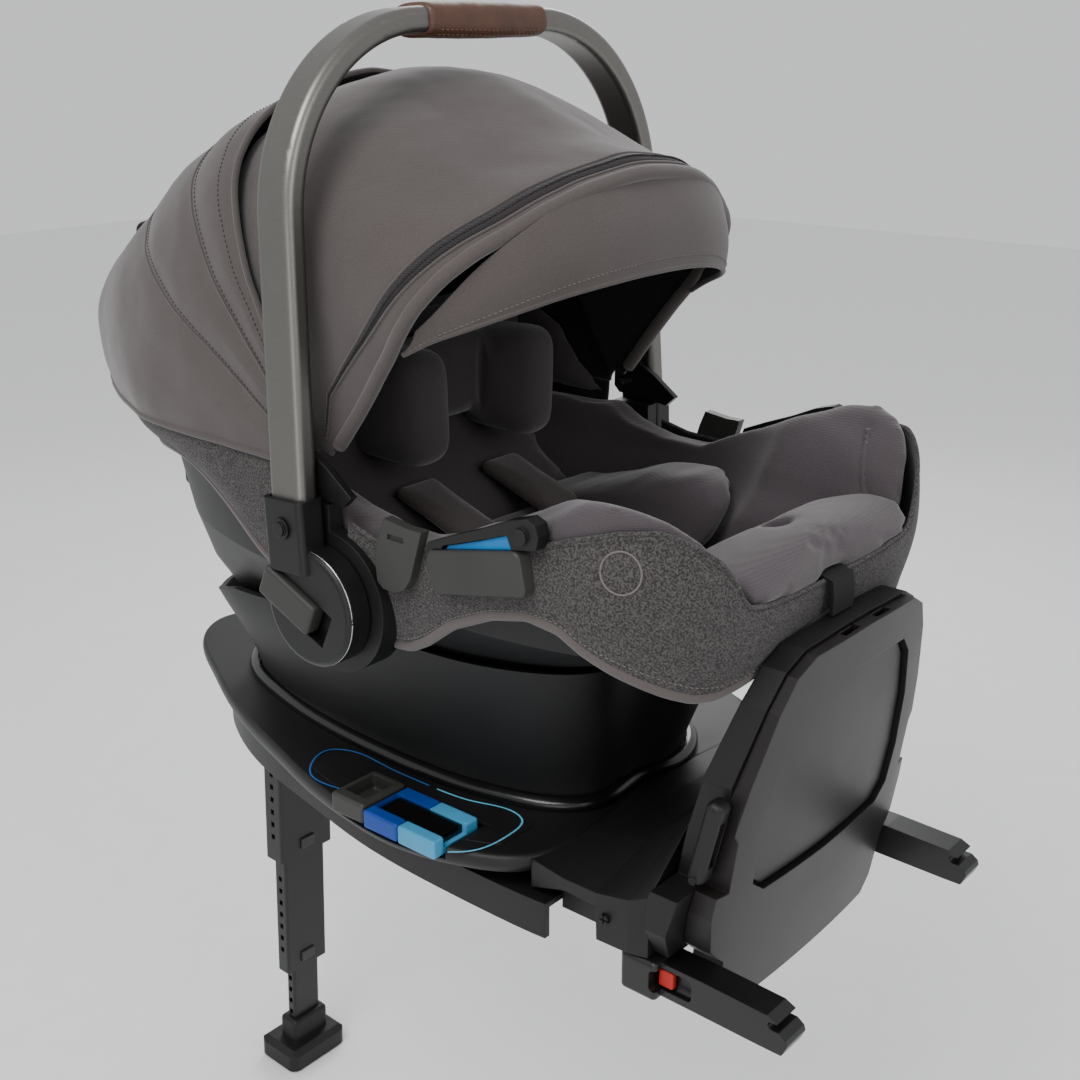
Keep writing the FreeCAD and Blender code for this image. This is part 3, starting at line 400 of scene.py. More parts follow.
def tube(name, path, radius, material, sides=10, squash=1.0, up=None):
    """A round or flattened cord along a path, with closed ends. up is the direction of its flattened side."""
    path = np.asarray(path, float)
    tangent = frames_along(path)
    up = np.tile([0.0, 0.0, 1.0], (len(path), 1)) if up is None else np.asarray(up, float)
    side = np.cross(tangent, up)
    weak = np.linalg.norm(side, axis=1) < 0.05
    side[weak] = np.cross(tangent[weak], [1.0, 0.2, 0.0])
    side /= np.linalg.norm(side, axis=1, keepdims=True)
    top = np.cross(side, tangent)
    turn = np.linspace(0, 2 * math.pi, sides, endpoint=False)
    ring = [path + radius * (math.cos(a) * side + squash * math.sin(a) * top) for a in turn]
    verts = np.stack(ring, axis=1).reshape(-1, 3)
    faces = []
    for i in range(len(path) - 1):
        for j in range(sides):
            k = (j + 1) % sides
            faces.append((i * sides + j, i * sides + k, (i + 1) * sides + k, (i + 1) * sides + j))
    faces.append(tuple(range(sides)))
    faces.append(tuple(reversed(range((len(path) - 1) * sides, len(path) * sides))))
    return make(name, verts, faces, [material])


def stitches(name, path, normals, material, pitch=4.2, length=2.7, radius=0.45, lift=0.25):
    """A row of separate thread stitches lying on a surface."""
    path, normals = np.asarray(path, float), np.asarray(normals, float)
    run = lengths(path)
    verts, faces = [], []
    for start in np.arange(pitch, run[-1] - pitch, pitch):
        line = []
        for k in range(5):
            s = start + length * k / 4
            p = np.array([np.interp(s, run, path[:, c]) for c in range(3)])
            n = np.array([np.interp(s, run, normals[:, c]) for c in range(3)])
            line.append(p + n * (lift + (0.3 if 0 < k < 4 else -0.35)))
        line = np.array(line)
        tangent = line[-1] - line[0]
        tangent /= np.linalg.norm(tangent)
        side = np.cross(tangent, n)
        side /= np.linalg.norm(side)
        top = np.cross(side, tangent)
        base = len(verts)
        for k, p in enumerate(line):
            r = radius * (0.6 if k in (0, 4) else 1.0)
            for a in range(6):
                t = a * math.pi / 3
                verts.append(p + r * (math.cos(t) * side + math.sin(t) * top))
        for k in range(4):
            for a in range(6):
                b = (a + 1) % 6
                faces.append((base + k * 6 + a, base + k * 6 + b, base + k * 6 + 6 + b, base + k * 6 + 6 + a))
        faces.append(tuple(base + a for a in range(6)))
        faces.append(tuple(base + 24 + a for a in reversed(range(6))))
    return make(name, verts, faces, [material])


def surface_of(obj):
    depsgraph = bpy.context.evaluated_depsgraph_get()
    return BVHTree.FromObject(obj, depsgraph)


def laid_on(tree, path, lift=0.0):
    """The path moved to the nearest points of a surface, with the normals there."""
    points, normals = [], []
    for p in path:
        hit, n, _, _ = tree.find_nearest(Vector(p) * MM)
        points.append(np.array(hit) / MM + np.array(n) * lift)
        normals.append(np.array(n))
    return np.array(points), np.array(normals)


def shown_as(obj, body, slot, *nodes):
    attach(obj, body)
    if nodes:
        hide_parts(*nodes)
    return obj


def ruffle(p, amount, size, seed):
    """Soft uneven offset for every point of a grid, in millimetres."""
    flat = p.reshape(-1, 3)
    out = [noise.noise(Vector((q[0] / size + seed, q[1] / size, q[2] / size))) for q in flat]
    return amount * np.array(out).reshape(p.shape[:2])


def relax(verts, faces_edges, rounds, factor=0.5):
    """Laplacian smoothing on an edge list."""
    a, b = faces_edges[:, 0], faces_edges[:, 1]
    count = np.bincount(np.concatenate([a, b]), minlength=len(verts)).astype(float)[:, None]
    for _ in range(rounds):
        total = np.zeros_like(verts)
        np.add.at(total, a, verts[b])
        np.add.at(total, b, verts[a])
        verts = verts + factor * (total / np.maximum(count, 1) - verts)
    return verts


def apply_modifiers(obj):
    depsgraph = bpy.context.evaluated_depsgraph_get()
    mesh = bpy.data.meshes.new_from_object(obj.evaluated_get(depsgraph))
    obj.modifiers.clear()
    old = obj.data
    obj.data = mesh
    bpy.data.meshes.remove(old)


def mesh_arrays(obj):
    n = len(obj.data.vertices)
    v = np.empty(n * 3)
    obj.data.vertices.foreach_get("co", v)
    e = np.empty(len(obj.data.edges) * 2, dtype=np.int64)
    obj.data.edges.foreach_get("vertices", e)
    return v.reshape(-1, 3), e.reshape(-1, 2)


def set_verts(obj, v):
    obj.data.vertices.foreach_set("co", v.reshape(-1))
    obj.data.update()


def normals_of(obj):
    n = np.empty(len(obj.data.vertices) * 3)
    obj.data.vertices.foreach_get("normal", n)
    return n.reshape(-1, 3)


def cushion(name, node, material, voxel=0.0045, smooth=8, pressure=4.0, cap=0.007, shape=None, held=None):
    """A soft copy of a CAD solid: remeshed, relaxed, blown up by cloth simulation.

    cap is the furthest a point may move, in metres. held says how freely each point may move, shape moves
    points afterwards; both work in millimetres.
    """
    source = NODES[node]
    meshes = [source] if source.type == "MESH" else [c for c in source.children if c.type == "MESH"]
    obj = bpy.data.objects.new(name, meshes[0].data.copy())
    bpy.context.scene.collection.objects.link(obj)
    obj.matrix_world = meshes[0].matrix_world.copy()
    obj.data.transform(obj.matrix_world)
    obj.matrix_world = Matrix.Identity(4)
    mod = obj.modifiers.new("remesh", "REMESH")
    mod.mode = "VOXEL"
    mod.voxel_size = voxel
    apply_modifiers(obj)
    v, e = mesh_arrays(obj)
    v = relax(v, e, smooth)
    set_verts(obj, v)
    start = v.copy()
    cloth = obj.modifiers.new("cloth", "CLOTH")
    cloth.settings.quality = 4
    cloth.settings.use_pressure = True
    cloth.settings.uniform_pressure_force = pressure
    cloth.settings.effector_weights.gravity = 0.0
    cloth.settings.tension_stiffness = 12
    cloth.settings.compression_stiffness = 12
    cloth.settings.bending_stiffness = 0.4
    cloth.collision_settings.use_collision = False
    for k in range(1, 21):
        bpy.context.scene.frame_set(k)
    apply_modifiers(obj)
    bpy.context.scene.frame_set(1)
    v, e = mesh_arrays(obj)
    move = v - start
    far = np.linalg.norm(move, axis=1, keepdims=True)
    free = held(start / MM)[:, None] if held else 1.0
    v = start + move * free * np.minimum(1.0, cap / np.maximum(far, 1e-9))
    set_verts(obj, v)
    if shape:
        v, e = mesh_arrays(obj)
        v = shape(v / MM, normals_of(obj)) * MM
        v = relax(v, e, 2)
        set_verts(obj, v)
    sub = obj.modifiers.new("sub", "SUBSURF")
    sub.levels = sub.render_levels = 1
    apply_modifiers(obj)
    obj.data.materials.clear()
    obj.data.materials.append(material)
    obj.data.polygons.foreach_set("use_smooth", [True] * len(obj.data.polygons))
    return obj


def distance_to(points, path):
    """Distance of every point from a polyline, both in millimetres."""
    best = np.full(len(points), 1e9)
    for a, b in zip(path[:-1], path[1:]):
        d = b - a
        t = np.clip(((points - a) @ d) / max(d @ d, 1e-9), 0, 1)
        best = np.minimum(best, np.linalg.norm(points - (a + t[:, None] * d), axis=1))
    return best


def valley(obj, path, width=4.0, depth=2.5):
    """Press a sewn line into a soft piece."""
    v, e = mesh_arrays(obj)
    d = distance_to(v / MM, np.asarray(path, float))
    set_verts(obj, v - normals_of(obj) * (depth * MM * np.exp(-(d / width) ** 2))[:, None])


# ---------------------------------------------------------------- canopy
PIVOT = np.array([0.0, 395.0, 330.0])
REAR_FAN = [(1, 414, 306, 208), (9, 430, 320, 226), (17, 404, 322, 232), (27, 364, 302, 230),
            (39, 336, 282, 216), (52, 318, 270, 200), (66, 309, 258, 184)]
FRONT_FAN = [(60, 301, 247, 174), (76, 292, 238, 175), (90, 278, 230, 178), (104, 260, 222, 182),
             (116, 259, 218, 185), (128, 277, 223, 188)]


def arch(fan, half, angle, count, grow=0.0, low=14.0):
    """Points of the canopy's arch at an angle above +Y, from the right side over to the left."""
    table = np.array(fan, float)
    mid, corner, side = (spline(table[:, 0], table[:, k], np.array([angle]))[0] + grow for k in (1, 2, 3))
    w = half + grow
    shape = [(0, mid), (w * 0.42, mid - 15), (w * 0.79, corner), (w - 3, side), (w, side * 0.55), (w, low)]
    xr = curve(mirror_path(shape), count)
    out = np.array([0, math.cos(math.radians(angle)), math.sin(math.radians(angle))])
    return PIVOT + xr[:, :1] * [1, 0, 0] + xr[:, 1:] * out


def dome(fan, half, a0, a1, seams, na, nt, puff=2.5, grow=0.0):
    """Grid of the canopy between two angles. seams are angles where the cloth is sewn down to a bow."""
    angles = np.linspace(a0, a1, na)
    p = np.stack([arch(fan, half, a, nt, grow) for a in angles])
    reach = np.linalg.norm((p - PIVOT)[:, :, 1:], axis=2)
    near = np.full(p.shape[:2], 1e9)
    for seam in seams:
        near = np.minimum(near, np.abs(np.radians(angles - seam))[:, None] * reach)
    n = grid_normals(p)
    if (n[na // 2, nt // 2] @ [0, 0.3, 1]) < 0:
        n = -n
    lift = puff * (1 - np.exp(-(near / 14.0) ** 2))
    fade = np.clip((reach - 40) / 60, 0, 1)
    lift = lift * fade + ruffle(p, 1.6, 46.0, 3.0) * fade + ruffle(p, 0.5, 17.0, 9.0) * fade
    return p + n * lift[:, :, None], n


def canopy_sheet(name, p, n, thick, slot="canopy_fabric"):
    guess = grid_normals(p)
    flip = (guess[p.shape[0] // 2, p.shape[1] // 2] @ n[p.shape[0] // 2, p.shape[1] // 2]) < 0
    return cloth_shell(name, p, thick, MATS[slot], LINING, flip)


rear_p, rear_n = dome(REAR_FAN, 193.0, 1.0, 66.0, (1, 34, 52, 66), 96, 150)
rear = shown_as(canopy_sheet("canopy_rear_cloth", rear_p, rear_n, 3.0), "carrier", "canopy_fabric", "canopy_rear")
front_p, front_n = dome(FRONT_FAN, 184.0, 60.0, 128.0, (60, 128), 90, 150)
front = shown_as(canopy_sheet("canopy_front_cloth", front_p, front_n, 3.0), "canopy", "canopy_fabric",
                 "canopy_front")


def on_grid(p, n, fan_angles, angle_of, j0=2, j1=None, lift=0.0):
    """A line across a dome: one point per arch sample, at the angle that angle_of(reach, x) gives."""
    out, up = [], []
    for j in range(j0, (j1 or p.shape[1]) - 2):
        reach = np.linalg.norm((p[p.shape[0] // 2, j] - PIVOT)[1:])
        a = angle_of(reach, p[p.shape[0] // 2, j, 0])
        f = np.clip(np.interp(a, fan_angles, np.arange(len(fan_angles))), 0, len(fan_angles) - 1.001)
        i, t = int(f), f - int(f)
        point = p[i, j] * (1 - t) + p[i + 1, j] * t
        normal = n[i, j] * (1 - t) + n[i + 1, j] * t
        out.append(point + normal * lift)
        up.append(normal)
    return np.array(out), np.array(up)


REAR_ANGLES = np.linspace(1, 66, 96)
FRONT_ANGLES = np.linspace(60, 128, 90)
for k, angle in enumerate((34, 52)):
    line, up = on_grid(rear_p, rear_n, REAR_ANGLES, lambda r, x, a=angle: a, lift=0.2)
    shown_as(tube("rear_seam_%d" % k, line, 1.1, MATS["canopy_fabric"], 8), "carrier", "canopy_fabric")
    offset, up2 = on_grid(rear_p, rear_n, REAR_ANGLES, lambda r, x, a=angle: a + 1.3)
    shown_as(stitches("rear_seam_stitch_%d" % k, offset, up2, DARK_THREAD, lift=0.05), "carrier", "canopy_fabric")
hem, up = on_grid(rear_p, rear_n, REAR_ANGLES, lambda r, x: 65.6, lift=-0.6)
shown_as(tube("bow_piping", hem, 2.4, MATS["canopy_fabric"], 12), "carrier", "canopy_fabric")
hem, up = on_grid(rear_p, rear_n, REAR_ANGLES, lambda r, x: 61.5)
shown_as(stitches("bow_stitch", hem, up, DARK_THREAD, lift=0.05), "carrier", "canopy_fabric")
edge, up = on_grid(rear_p, rear_n, REAR_ANGLES, lambda r, x: 1.4, lift=-0.5)
shown_as(tube("rear_piping", edge, 2.6, MATS["canopy_fabric"], 12), "carrier", "canopy_fabric")


def zip_angle(reach, x, shift=0.0):
    return 126.0 + shift - 24.0 * math.exp(-max(0.0, reach - 60) / 55.0)


def strip(name, left, right, normals, thick, material):
    """A flat tape between two lines."""
    nu = len(left)
    lower_l, lower_r = left - normals * thick, right - normals * thick
    middle = 0.5 * (left + right) + normals * 0.3 * thick
    p = np.stack([lower_l, left, middle, right, lower_r], axis=1)
    verts = p.reshape(-1, 3)
    faces = grid_faces(nu, 5) + [(i * 5 + 4, (i + 1) * 5 + 4, (i + 1) * 5, i * 5) for i in range(nu - 1)]
    return make(name, verts, faces, [material])


tape_a, up = on_grid(front_p, front_n, FRONT_ANGLES, lambda r, x: zip_angle(r, x, -2.6), lift=0.8)
tape_b, _ = on_grid(front_p, front_n, FRONT_ANGLES, lambda r, x: zip_angle(r, x, -0.2), lift=0.8)
shown_as(strip("zip_tape", tape_a, tape_b, up, 1.5, ZIP), "canopy", "canopy_fabric")
teeth, up = on_grid(front_p, front_n, FRONT_ANGLES, lambda r, x: zip_angle(r, x, -1.4), lift=1.2)
shown_as(stitches("zip_teeth", teeth, up, ZIP, pitch=2.4, length=1.6, radius=0.95, lift=0.2), "canopy",
         "canopy_fabric")
for k, shift in enumerate((-3.1, 0.3)):
    line, up = on_grid(front_p, front_n, FRONT_ANGLES, lambda r, x: zip_angle(r, x, shift), lift=0.3)
    shown_as(tube("zip_edge_%d" % k, line, 1.2, MATS["canopy_fabric"], 8), "canopy", "canopy_fabric")
brim, up = on_grid(front_p, front_n, FRONT_ANGLES, lambda r, x: 127.4, lift=-3.2)
shown_as(tube("canopy_brim", brim, 5.6, MATS["canopy_fabric"], 16), "canopy", "canopy_fabric")

# ---------------------------------------------------------------- visor
VISOR = [(0, 229, 548, 217, 475), (60, 231, 541, 222, 472), (120, 245, 516, 242, 461), (158, 267, 484, 268, 448),
         (172, 280, 464, 291, 438), (179, 298, 446, 311, 427)]


def visor_grid(nu, nv):
    half = np.array(VISOR, float)
    upper = curve(mirror_path(half[:, [0, 1, 2]]), nu)
    lower = curve(mirror_path(half[:, [0, 3, 4]]), nu)
    t = np.linspace(0, 1, nv)[None, :, None]
    p = upper[:, None] * (1 - t) + lower[:, None] * t
    width = np.linalg.norm(lower - upper, axis=1)[:, None]
    bow = 5.0 * np.sin(np.pi * t[:, :, 0]) * np.minimum(1, width / 60)
    p[:, :, 1] -= bow
    p[:, :, 1] -= ruffle(p, 1.2, 50, 5.0)
    return p


visor_p = visor_grid(160, 34)
vn = grid_normals(visor_p)
visor_flip = vn[80, 16, 1] > 0
vn = -vn if visor_flip else vn
visor = cloth_shell("visor_cloth", visor_p, 2.6, MATS["canopy_fabric"], LINING, visor_flip)
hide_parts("visor")
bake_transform(visor)
shown_as(tube("visor_piping", visor_p[:, -1] - vn[:, -1] * 1.2, 2.2, MATS["canopy_fabric"], 12), "visor",
         "canopy_fabric")
shown_as(stitches("visor_stitch", visor_p[:, -5], vn[:, -5], THREAD, lift=0.05), "visor", "canopy_fabric")

# ---------------------------------------------------------------- side skirt
FABRIC = [(0, 56), (72, 54), (125, 59), (160, 75), (183, 100), (196, 160), (198.5, 230), (199.5, 330), (196, 420),
          (186, 540), (154, 640), (88, 712), (0, 732)]
COVER_HALF_WIDTH, COVER_HALF_LENGTH, COVER_MIDDLE = 199.5, 338.0, 394
# height, and how far the cover stands inside its outline there
LEVELS = np.array([(200, 14), (262, 2), (305, 0), (372, 9)], float)


def fabric_outline():
    """Closed outline of the fabric cover, from the head end's middle round the left side and back."""
    half = np.array(FABRIC, float)[::-1]
    ring = np.concatenate([half, half[::-1][1:] * [-1, 1]])
    wrapped = np.concatenate([ring[-4:-1], ring, ring[1:4]])
    dense = curve(wrapped, 4000)
    ends = [np.argmin(np.linalg.norm(dense[:900] - ring[0], axis=1)),
            3100 + np.argmin(np.linalg.norm(dense[3100:] - ring[0], axis=1))]
    return dense[ends[0]:ends[1]]


# points (x, y, z) of the cover's sewn top line and of its lower edge, from the foot end's middle backwards
SEAM_POINTS = [(0, 56, 271), (67, 54, 275), (96, 56, 278), (113, 57.5, 281), (120, 58, 289), (127, 60, 304),
               (138, 65, 318), (154, 72, 330), (165, 80, 337), (174, 89, 341), (186, 112, 339), (192, 140, 331),
               (196, 169, 321), (198, 200, 314), (198.6, 243, 309), (199, 274, 297), (199.3, 286, 290),
               (199.5, 324, 292), (199.3, 353, 299)]
LOW_POINTS = [(0, 56, 243), (48, 55, 235), (98, 56, 224), (135, 64, 217), (151, 71, 219), (167, 82, 226),
              (180, 97, 235), (187, 117, 244), (192, 136, 253), (195, 154, 264), (197.5, 181, 268), (198.3, 214, 260),
              (198.8, 252, 242), (199, 280, 220), (199.3, 300, 209), (199.5, 319, 207), (199.5, 328, 217),
              (199.5, 335, 245), (199.3, 353, 277)]
ring = fabric_outline()
front_at = int(np.argmin(np.linalg.norm(ring - [0, 56], axis=1)))
along = np.abs(lengths(ring) - lengths(ring)[front_at])
right_half = ring[front_at:] if ring[front_at + 50, 0] > 0 else ring[:front_at + 1][::-1]
right_run = lengths(right_half)


def by_run(points, run, blur=4.0):
    """Height at distances along the outline from the foot end's middle, corners rounded off."""
    table = np.array(points, float)
    at = [right_run[np.argmin(np.linalg.norm(right_half - p[:2], axis=1))] for p in table]
    offsets = np.linspace(-blur, blur, 9)
    return np.mean([np.interp(np.abs(run + o), at, table[:, 2]) for o in offsets], axis=0)


def seam_height(xy):
    """Height of the sewn line between twill cover and knit pad, at the outline's nearest place."""
    xy = np.abs(xy) if xy.ndim == 1 else np.stack([np.abs(xy[:, 0]), xy[:, 1]], axis=1)
    samples = right_half[::12]
    runs = right_run[::12]
    near = np.concatenate([np.argmin(((part[:, None] - samples[None]) ** 2).sum(axis=2), axis=1)
                           for part in np.array_split(xy, max(1, len(xy) // 2000))])
    return by_run(SEAM_POINTS, runs[near])


SKIRT_END = 353
keep = ring[:, 1] <= SKIRT_END
first = np.argmax(keep)
last = len(keep) - np.argmax(keep[::-1]) - 1
skirt_xy = ring[first:last + 1]
skirt_run = along[first:last + 1]
pick = np.linspace(0, len(skirt_xy) - 1, 460).astype(int)
skirt_xy, skirt_run = skirt_xy[pick], skirt_run[pick]
top_z = by_run(SEAM_POINTS, skirt_run, 3.0)
low_z = by_run(LOW_POINTS, skirt_run)
NV = 46
levels = np.linspace(0, 1, NV)
skirt_p = np.zeros((len(skirt_xy), NV, 3))
for j, t in enumerate(levels):
    z = low_z * (1 - t) + top_z * t
    amount = spline(LEVELS[:, 0], LEVELS[:, 1], np.clip(z, 200, 372))
    skirt_p[:, j, 0] = skirt_xy[:, 0] * (1 - amount / COVER_HALF_WIDTH)
    skirt_p[:, j, 1] = COVER_MIDDLE + (skirt_xy[:, 1] - COVER_MIDDLE) * (1 - amount / COVER_HALF_LENGTH)
    skirt_p[:, j, 2] = z
sn = grid_normals(skirt_p)
skirt_flip = sn[230, 20, 1] > 0
sn = -sn if skirt_flip else sn
swell = 1.6 * np.sin(np.pi * levels)[None, :] + ruffle(skirt_p, 1.1, 60.0, 2.0) * np.sin(np.pi * levels)[None, :]
skirt_p = skirt_p + sn * swell[:, :, None]
skirt = shown_as(cloth_shell("side_skirt_cloth", skirt_p, 2.6, MATS["heather_fabric"], LINING, skirt_flip),
                 "carrier", "heather_fabric", "side_skirt")
low_edge = skirt_p[:, 0]
shown_as(tube("skirt_binding", low_edge - sn[:, 0] * 0.8, 4.2, BINDING, 12, 0.55, sn[:, 0]), "carrier",
         "heather_fabric")
shown_as(stitches("skirt_stitch", skirt_p[:, 4], sn[:, 4], THREAD, lift=0.05), "carrier", "heather_fabric")
shown_as(tube("skirt_seam", skirt_p[:, -1] - sn[:, -1] * 0.8, 1.8, MATS["heather_fabric"], 10), "carrier",
         "heather_fabric")
shown_as(stitches("skirt_top_stitch", skirt_p[:, -3], sn[:, -3], DARK_THREAD, lift=0.05), "carrier",
         "heather_fabric")

COVER_RING_R = 14.5
skirt_tree = surface_of(skirt)
for name, side in (("cover_ring_right", -1), ("cover_ring_left", 1)):
    turn = np.linspace(0, 2 * math.pi, 73)
    centre = np.array([side * 189.5, 108.5, 314.7])
    tangent = np.array([side * 0.24, 0.97, 0.0])
    circle = centre + COVER_RING_R * (np.cos(turn)[:, None] * tangent + np.sin(turn)[:, None] * [0, 0, 1.0])
    line, up = laid_on(skirt_tree, circle, 0.1)
    shown_as(tube(name, line, 0.75, THREAD, 8), "carrier", "heather_fabric")

# ---------------------------------------------------------------- rear skirt
top_line = arch(REAR_FAN, 193.0, 2.0, 240, -2.5)
low_line = curve(mirror_path([(0, 731, 281), (50, 725, 283), (100, 706, 288), (148, 642, 297), (172, 572, 298),
                              (180.5, 528, 283), (186, 490, 262), (188.5, 455, 242), (189, 433, 236)]), 240)
if (top_line[0, 0] > 0) != (low_line[0, 0] > 0):
    low_line = low_line[::-1]
t = np.linspace(0, 1, 26)[None, :, None]
drape_p = top_line[:, None] * (1 - t) + low_line[:, None] * t
out = drape_p - np.array([0, 500, 320])
out[:, :, 2] = 0
out /= np.linalg.norm(out, axis=2, keepdims=True)
drape_p = drape_p + out * (4.5 * np.sin(np.pi * t) * np.ones(drape_p.shape))
drape_p = drape_p + out * (ruffle(drape_p, 2.2, 42.0, 7.0) * np.sin(np.pi * t[:, :, 0]))[:, :, None]
dn = grid_normals(drape_p)
drape_flip = (dn[120, 12] @ out[120, 12]) < 0
dn = -dn if drape_flip else dn
drape = shown_as(cloth_shell("rear_skirt_cloth", drape_p, 2.4, MATS["heather_fabric"], LINING, drape_flip),
                 "carrier", "heather_fabric")
shown_as(tube("rear_skirt_binding", drape_p[:, -1], 3.4, BINDING, 12, 0.55, dn[:, -1]), "carrier", "heather_fabric")

# small loop sewn into the canopy's rear seam
loop = curve([(-80, 722, 478), (-81, 738, 478), (-82, 745, 472), (-82, 743, 464), (-80, 726, 464)], 40)
shown_as(tube("pull_loop", loop, 7.0, MATS["canopy_fabric"], 14, 0.16, np.cross([1.0, 0, 0], frames_along(loop))),
         "carrier", "canopy_fabric")

# ---------------------------------------------------------------- pads
def seat_shape(v, n):
    """Flush above the sewn line, rounded at the rim."""
    outward = np.stack([n[:, 0], n[:, 1], 0 * n[:, 0]], axis=1)
    seam = seam_height(v[:, :2])
    above = np.clip((v[:, 2] - seam + 4) / 14, 0, 1)
    outer = np.clip((np.abs(n[:, 0]) + np.maximum(0, -n[:, 1])) - 0.35, 0, 1)
    facing = (v[:, 0] * n[:, 0] + np.minimum(0, v[:, 1] - 220) * n[:, 1]) > 0
    push = 5.6 * above * outer * facing * (v[:, 1] < 345)
    behind = np.clip((seam - v[:, 2] - 3) / 8, 0, 1) * np.clip((v[:, 2] - 255) / 20, 0, 1)
    return v + outward * (push - 2.5 * behind * outer * facing)[:, None]


def in_shell(v):
    """How freely the seat pad may swell: not at all where the hard shell holds it."""
    return np.clip((v[:, 2] - 284) / 14, 0, 1)


seat = shown_as(cushion("seat_pad_knit", "seat_pad", MATS["knit_fabric"], 0.005, 10, 4.0, 0.005, shape=seat_shape,
                        held=in_shell), "carrier", "knit_fabric", "seat_pad")
for name, side in (("bulge_piping_right", -1), ("bulge_piping_left", 1)):
    fold = curve([(side * x, y, z) for x, y, z in ((148, 117, 350), (138, 112, 334), (126, 105, 312),
                                                   (119, 98, 295), (114, 84, 281))], 90)
    line, up = laid_on(surface_of(seat), fold, 0.0)
    valley(seat, line, 5.0, 1.8)
    line, up = laid_on(surface_of(seat), fold, 0.4)
    sunk = np.linspace(3.0, 0.0, 6)[:, None]
    line[:6] -= up[:6] * sunk
    line[-6:] -= up[-6:] * sunk[::-1]
    shown_as(tube(name, line, 1.5, MATS["knit_fabric"], 10), "carrier", "knit_fabric")
tongue = shown_as(cushion("tongue_pad_knit", "tongue_pad", MATS["knit_fabric"], 0.004, 6, 4.0, 0.006), "carrier",
                  "knit_fabric", "tongue_pad")
def insert_shape(v, n):
    """Hip bolsters high at the foot end, falling towards the back."""
    before_top = np.interp(v[:, 1], [205, 262, 340, 402], [270, 292, 300, 296])
    after_top = np.interp(v[:, 1], [205, 218, 240, 290, 340, 377, 402], [280, 291, 294, 284, 266, 255, 255])
    part = (after_top - 240) / (before_top - 240)
    return np.stack([v[:, 0], v[:, 1], np.where(v[:, 2] > 240, 240 + (v[:, 2] - 240) * part, v[:, 2])], axis=1)


insert = shown_as(cushion("infant_insert_knit", "infant_insert", MATS["knit_fabric"], 0.005, 12, 4.0, 0.008,
                          shape=insert_shape), "carrier", "knit_fabric", "infant_insert")
# back pad and head insert take the darkened knit colour, painted shade for the seat's inside
back = shown_as(cushion("back_pad_knit", "back_pad", MATS["insert_fabric"], 0.006, 8, 4.0, 0.008), "carrier",
                "insert_fabric", "back_pad")
head = shown_as(cushion("head_insert_knit", "head_insert", MATS["insert_fabric"], 0.0045, 8, 4.0, 0.008), "carrier",
                "insert_fabric", "head_insert")
shoulder = shown_as(cushion("shoulder_pads_plush", "shoulder_pads", MATS["pad_fabric"], 0.003, 5, 4.0, 0.004),
                    "carrier", "pad_fabric", "shoulder_pads")

# ---------------------------------------------------------------- leather grip
GRIP_Y, GRIP_Z = 404.0, 652.0
xs = np.linspace(-67, 67, 110)
sides = 44
rings = []
for x in xs:
    end = min(1.0, (67 - abs(x)) / 5.0)
    pinch = math.sqrt(max(0.0, 1 - (1 - end) ** 2))
    fullness = 1.0 + 0.03 * math.cos(x / 67 * math.pi)
    row = []
    for a in np.linspace(0, 2 * math.pi, sides, endpoint=False):
        c, s = math.cos(a), math.sin(a)
        ry, rz = (19.6 + 2.4 * pinch) * fullness, (10.6 + 2.6 * pinch) * fullness
        k = (abs(c) ** 3.2 + abs(s) ** 3.2) ** (-1 / 3.2)
        wob = 0.25 * noise.noise(Vector((x / 9, c * 2, s * 2)))
        row.append((x, c * k * (ry + wob), s * k * (rz + wob)))
    rings.append(row)
g = np.array(rings)
lean = math.radians(2.54)
gy = GRIP_Y + g[:, :, 1] * math.cos(lean) + g[:, :, 2] * math.sin(lean)
gz = GRIP_Z - 0.6 + g[:, :, 2] * math.cos(lean) - g[:, :, 1] * math.sin(lean)
g = np.stack([g[:, :, 0], gy, gz], axis=2)
faces = []
for i in range(len(xs) - 1):
    for j in range(sides):
        k = (j + 1) % sides
        faces.append((i * sides + j, (i + 1) * sides + j, (i + 1) * sides + k, i * sides + k))
faces.append(tuple(range(sides)))
faces.append(tuple(reversed(range((len(xs) - 1) * sides, len(xs) * sides))))
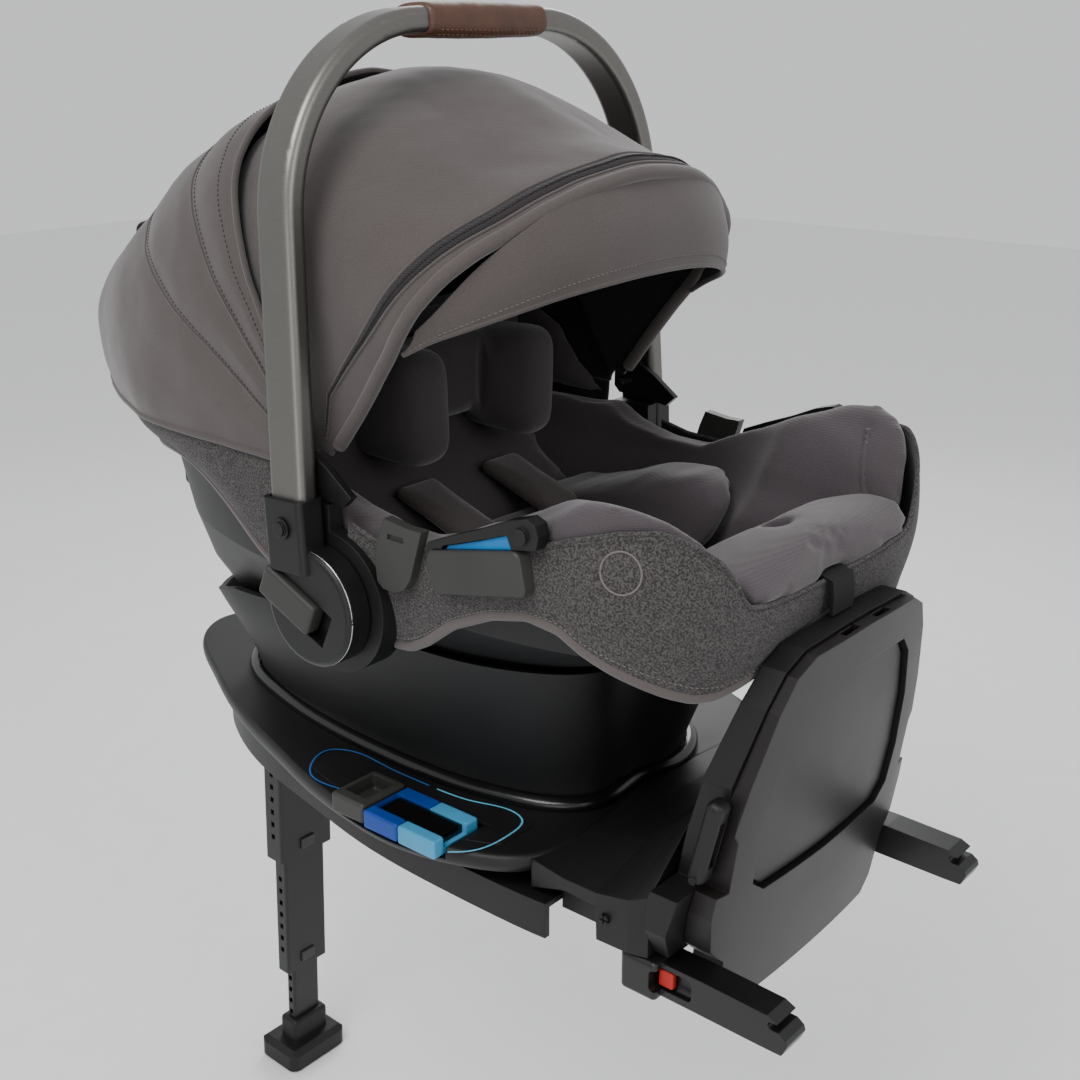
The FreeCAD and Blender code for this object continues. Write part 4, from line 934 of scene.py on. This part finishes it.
shown_as(make("leather_grip", g.reshape(-1, 3), faces, [MATS["leather"]]), "handle", "leather", "handle_grip")
under = int(sides * 0.62)
for k, j in enumerate((under - 1, under + 1)):
    line = g[4:-4, j]
    up = line - np.array([0, GRIP_Y, GRIP_Z]) * [0, 1, 1] - line * [1, 0, 0]
    up /= np.linalg.norm(up, axis=1, keepdims=True)
    shown_as(stitches("grip_stitch_%d" % k, line, up, TAN_THREAD, pitch=5.0, length=3.2, radius=0.55, lift=0.2),
             "handle", "leather")

# ---------------------------------------------------------------- printed gauge lines and small trim
DARK_LINE = plastic("dark_blue_print", (0.01, 0.09, 0.30), 0.45, bevel=0.0)
LIGHT_LINE = plastic("light_blue_print", (0.10, 0.42, 0.62), 0.45, bevel=0.0)
GAUGE_Z = 54.9


def printed(name, points, material):
    path = np.array([(x, y, GAUGE_Z) for x, y in points], float)
    dense = curve(path, 160)
    shown_as(tube(name, dense, 0.9, material, 6, 0.25), "base", "base_plastic")


printed("gauge_line_dark", [(-181, 396), (-181, 432), (-170, 446), (-138, 455), (-131, 445), (-129, 400),
                            (-130, 345)],
        DARK_LINE)
printed("gauge_line_light", [(-130, 336), (-126, 300), (-118, 262), (-124, 249), (-145, 243), (-184, 250),
                             (-196, 262)],
        LIGHT_LINE)

# thin bright line round each hub
HUB_Y, HUB_Z, HUB_RING_R = 370, 235, 45.2
for name, side in (("hub_ring_right", -1), ("hub_ring_left", 1)):
    turn = np.linspace(0, 2 * math.pi, 121)
    path = np.stack([np.full_like(turn, side * 225.4), HUB_Y + HUB_RING_R * np.cos(turn),
                     HUB_Z + HUB_RING_R * np.sin(turn)], axis=1)
    shown_as(tube(name, path, 0.7, RIM_METAL, 8), "handle", "arm_plastic")

# ---------------------------------------------------------------- floor
floor_mat = plastic("floor", (0.88, 0.88, 0.88), 0.7, grain=0.05, mottle=0.01, bevel=0.0)
FLOOR_Z = -0.4565
bpy.ops.mesh.primitive_plane_add(size=14, location=(0, 0.4, FLOOR_Z))
floor = bpy.context.object
floor.name = "floor"
floor.data.materials.append(floor_mat)
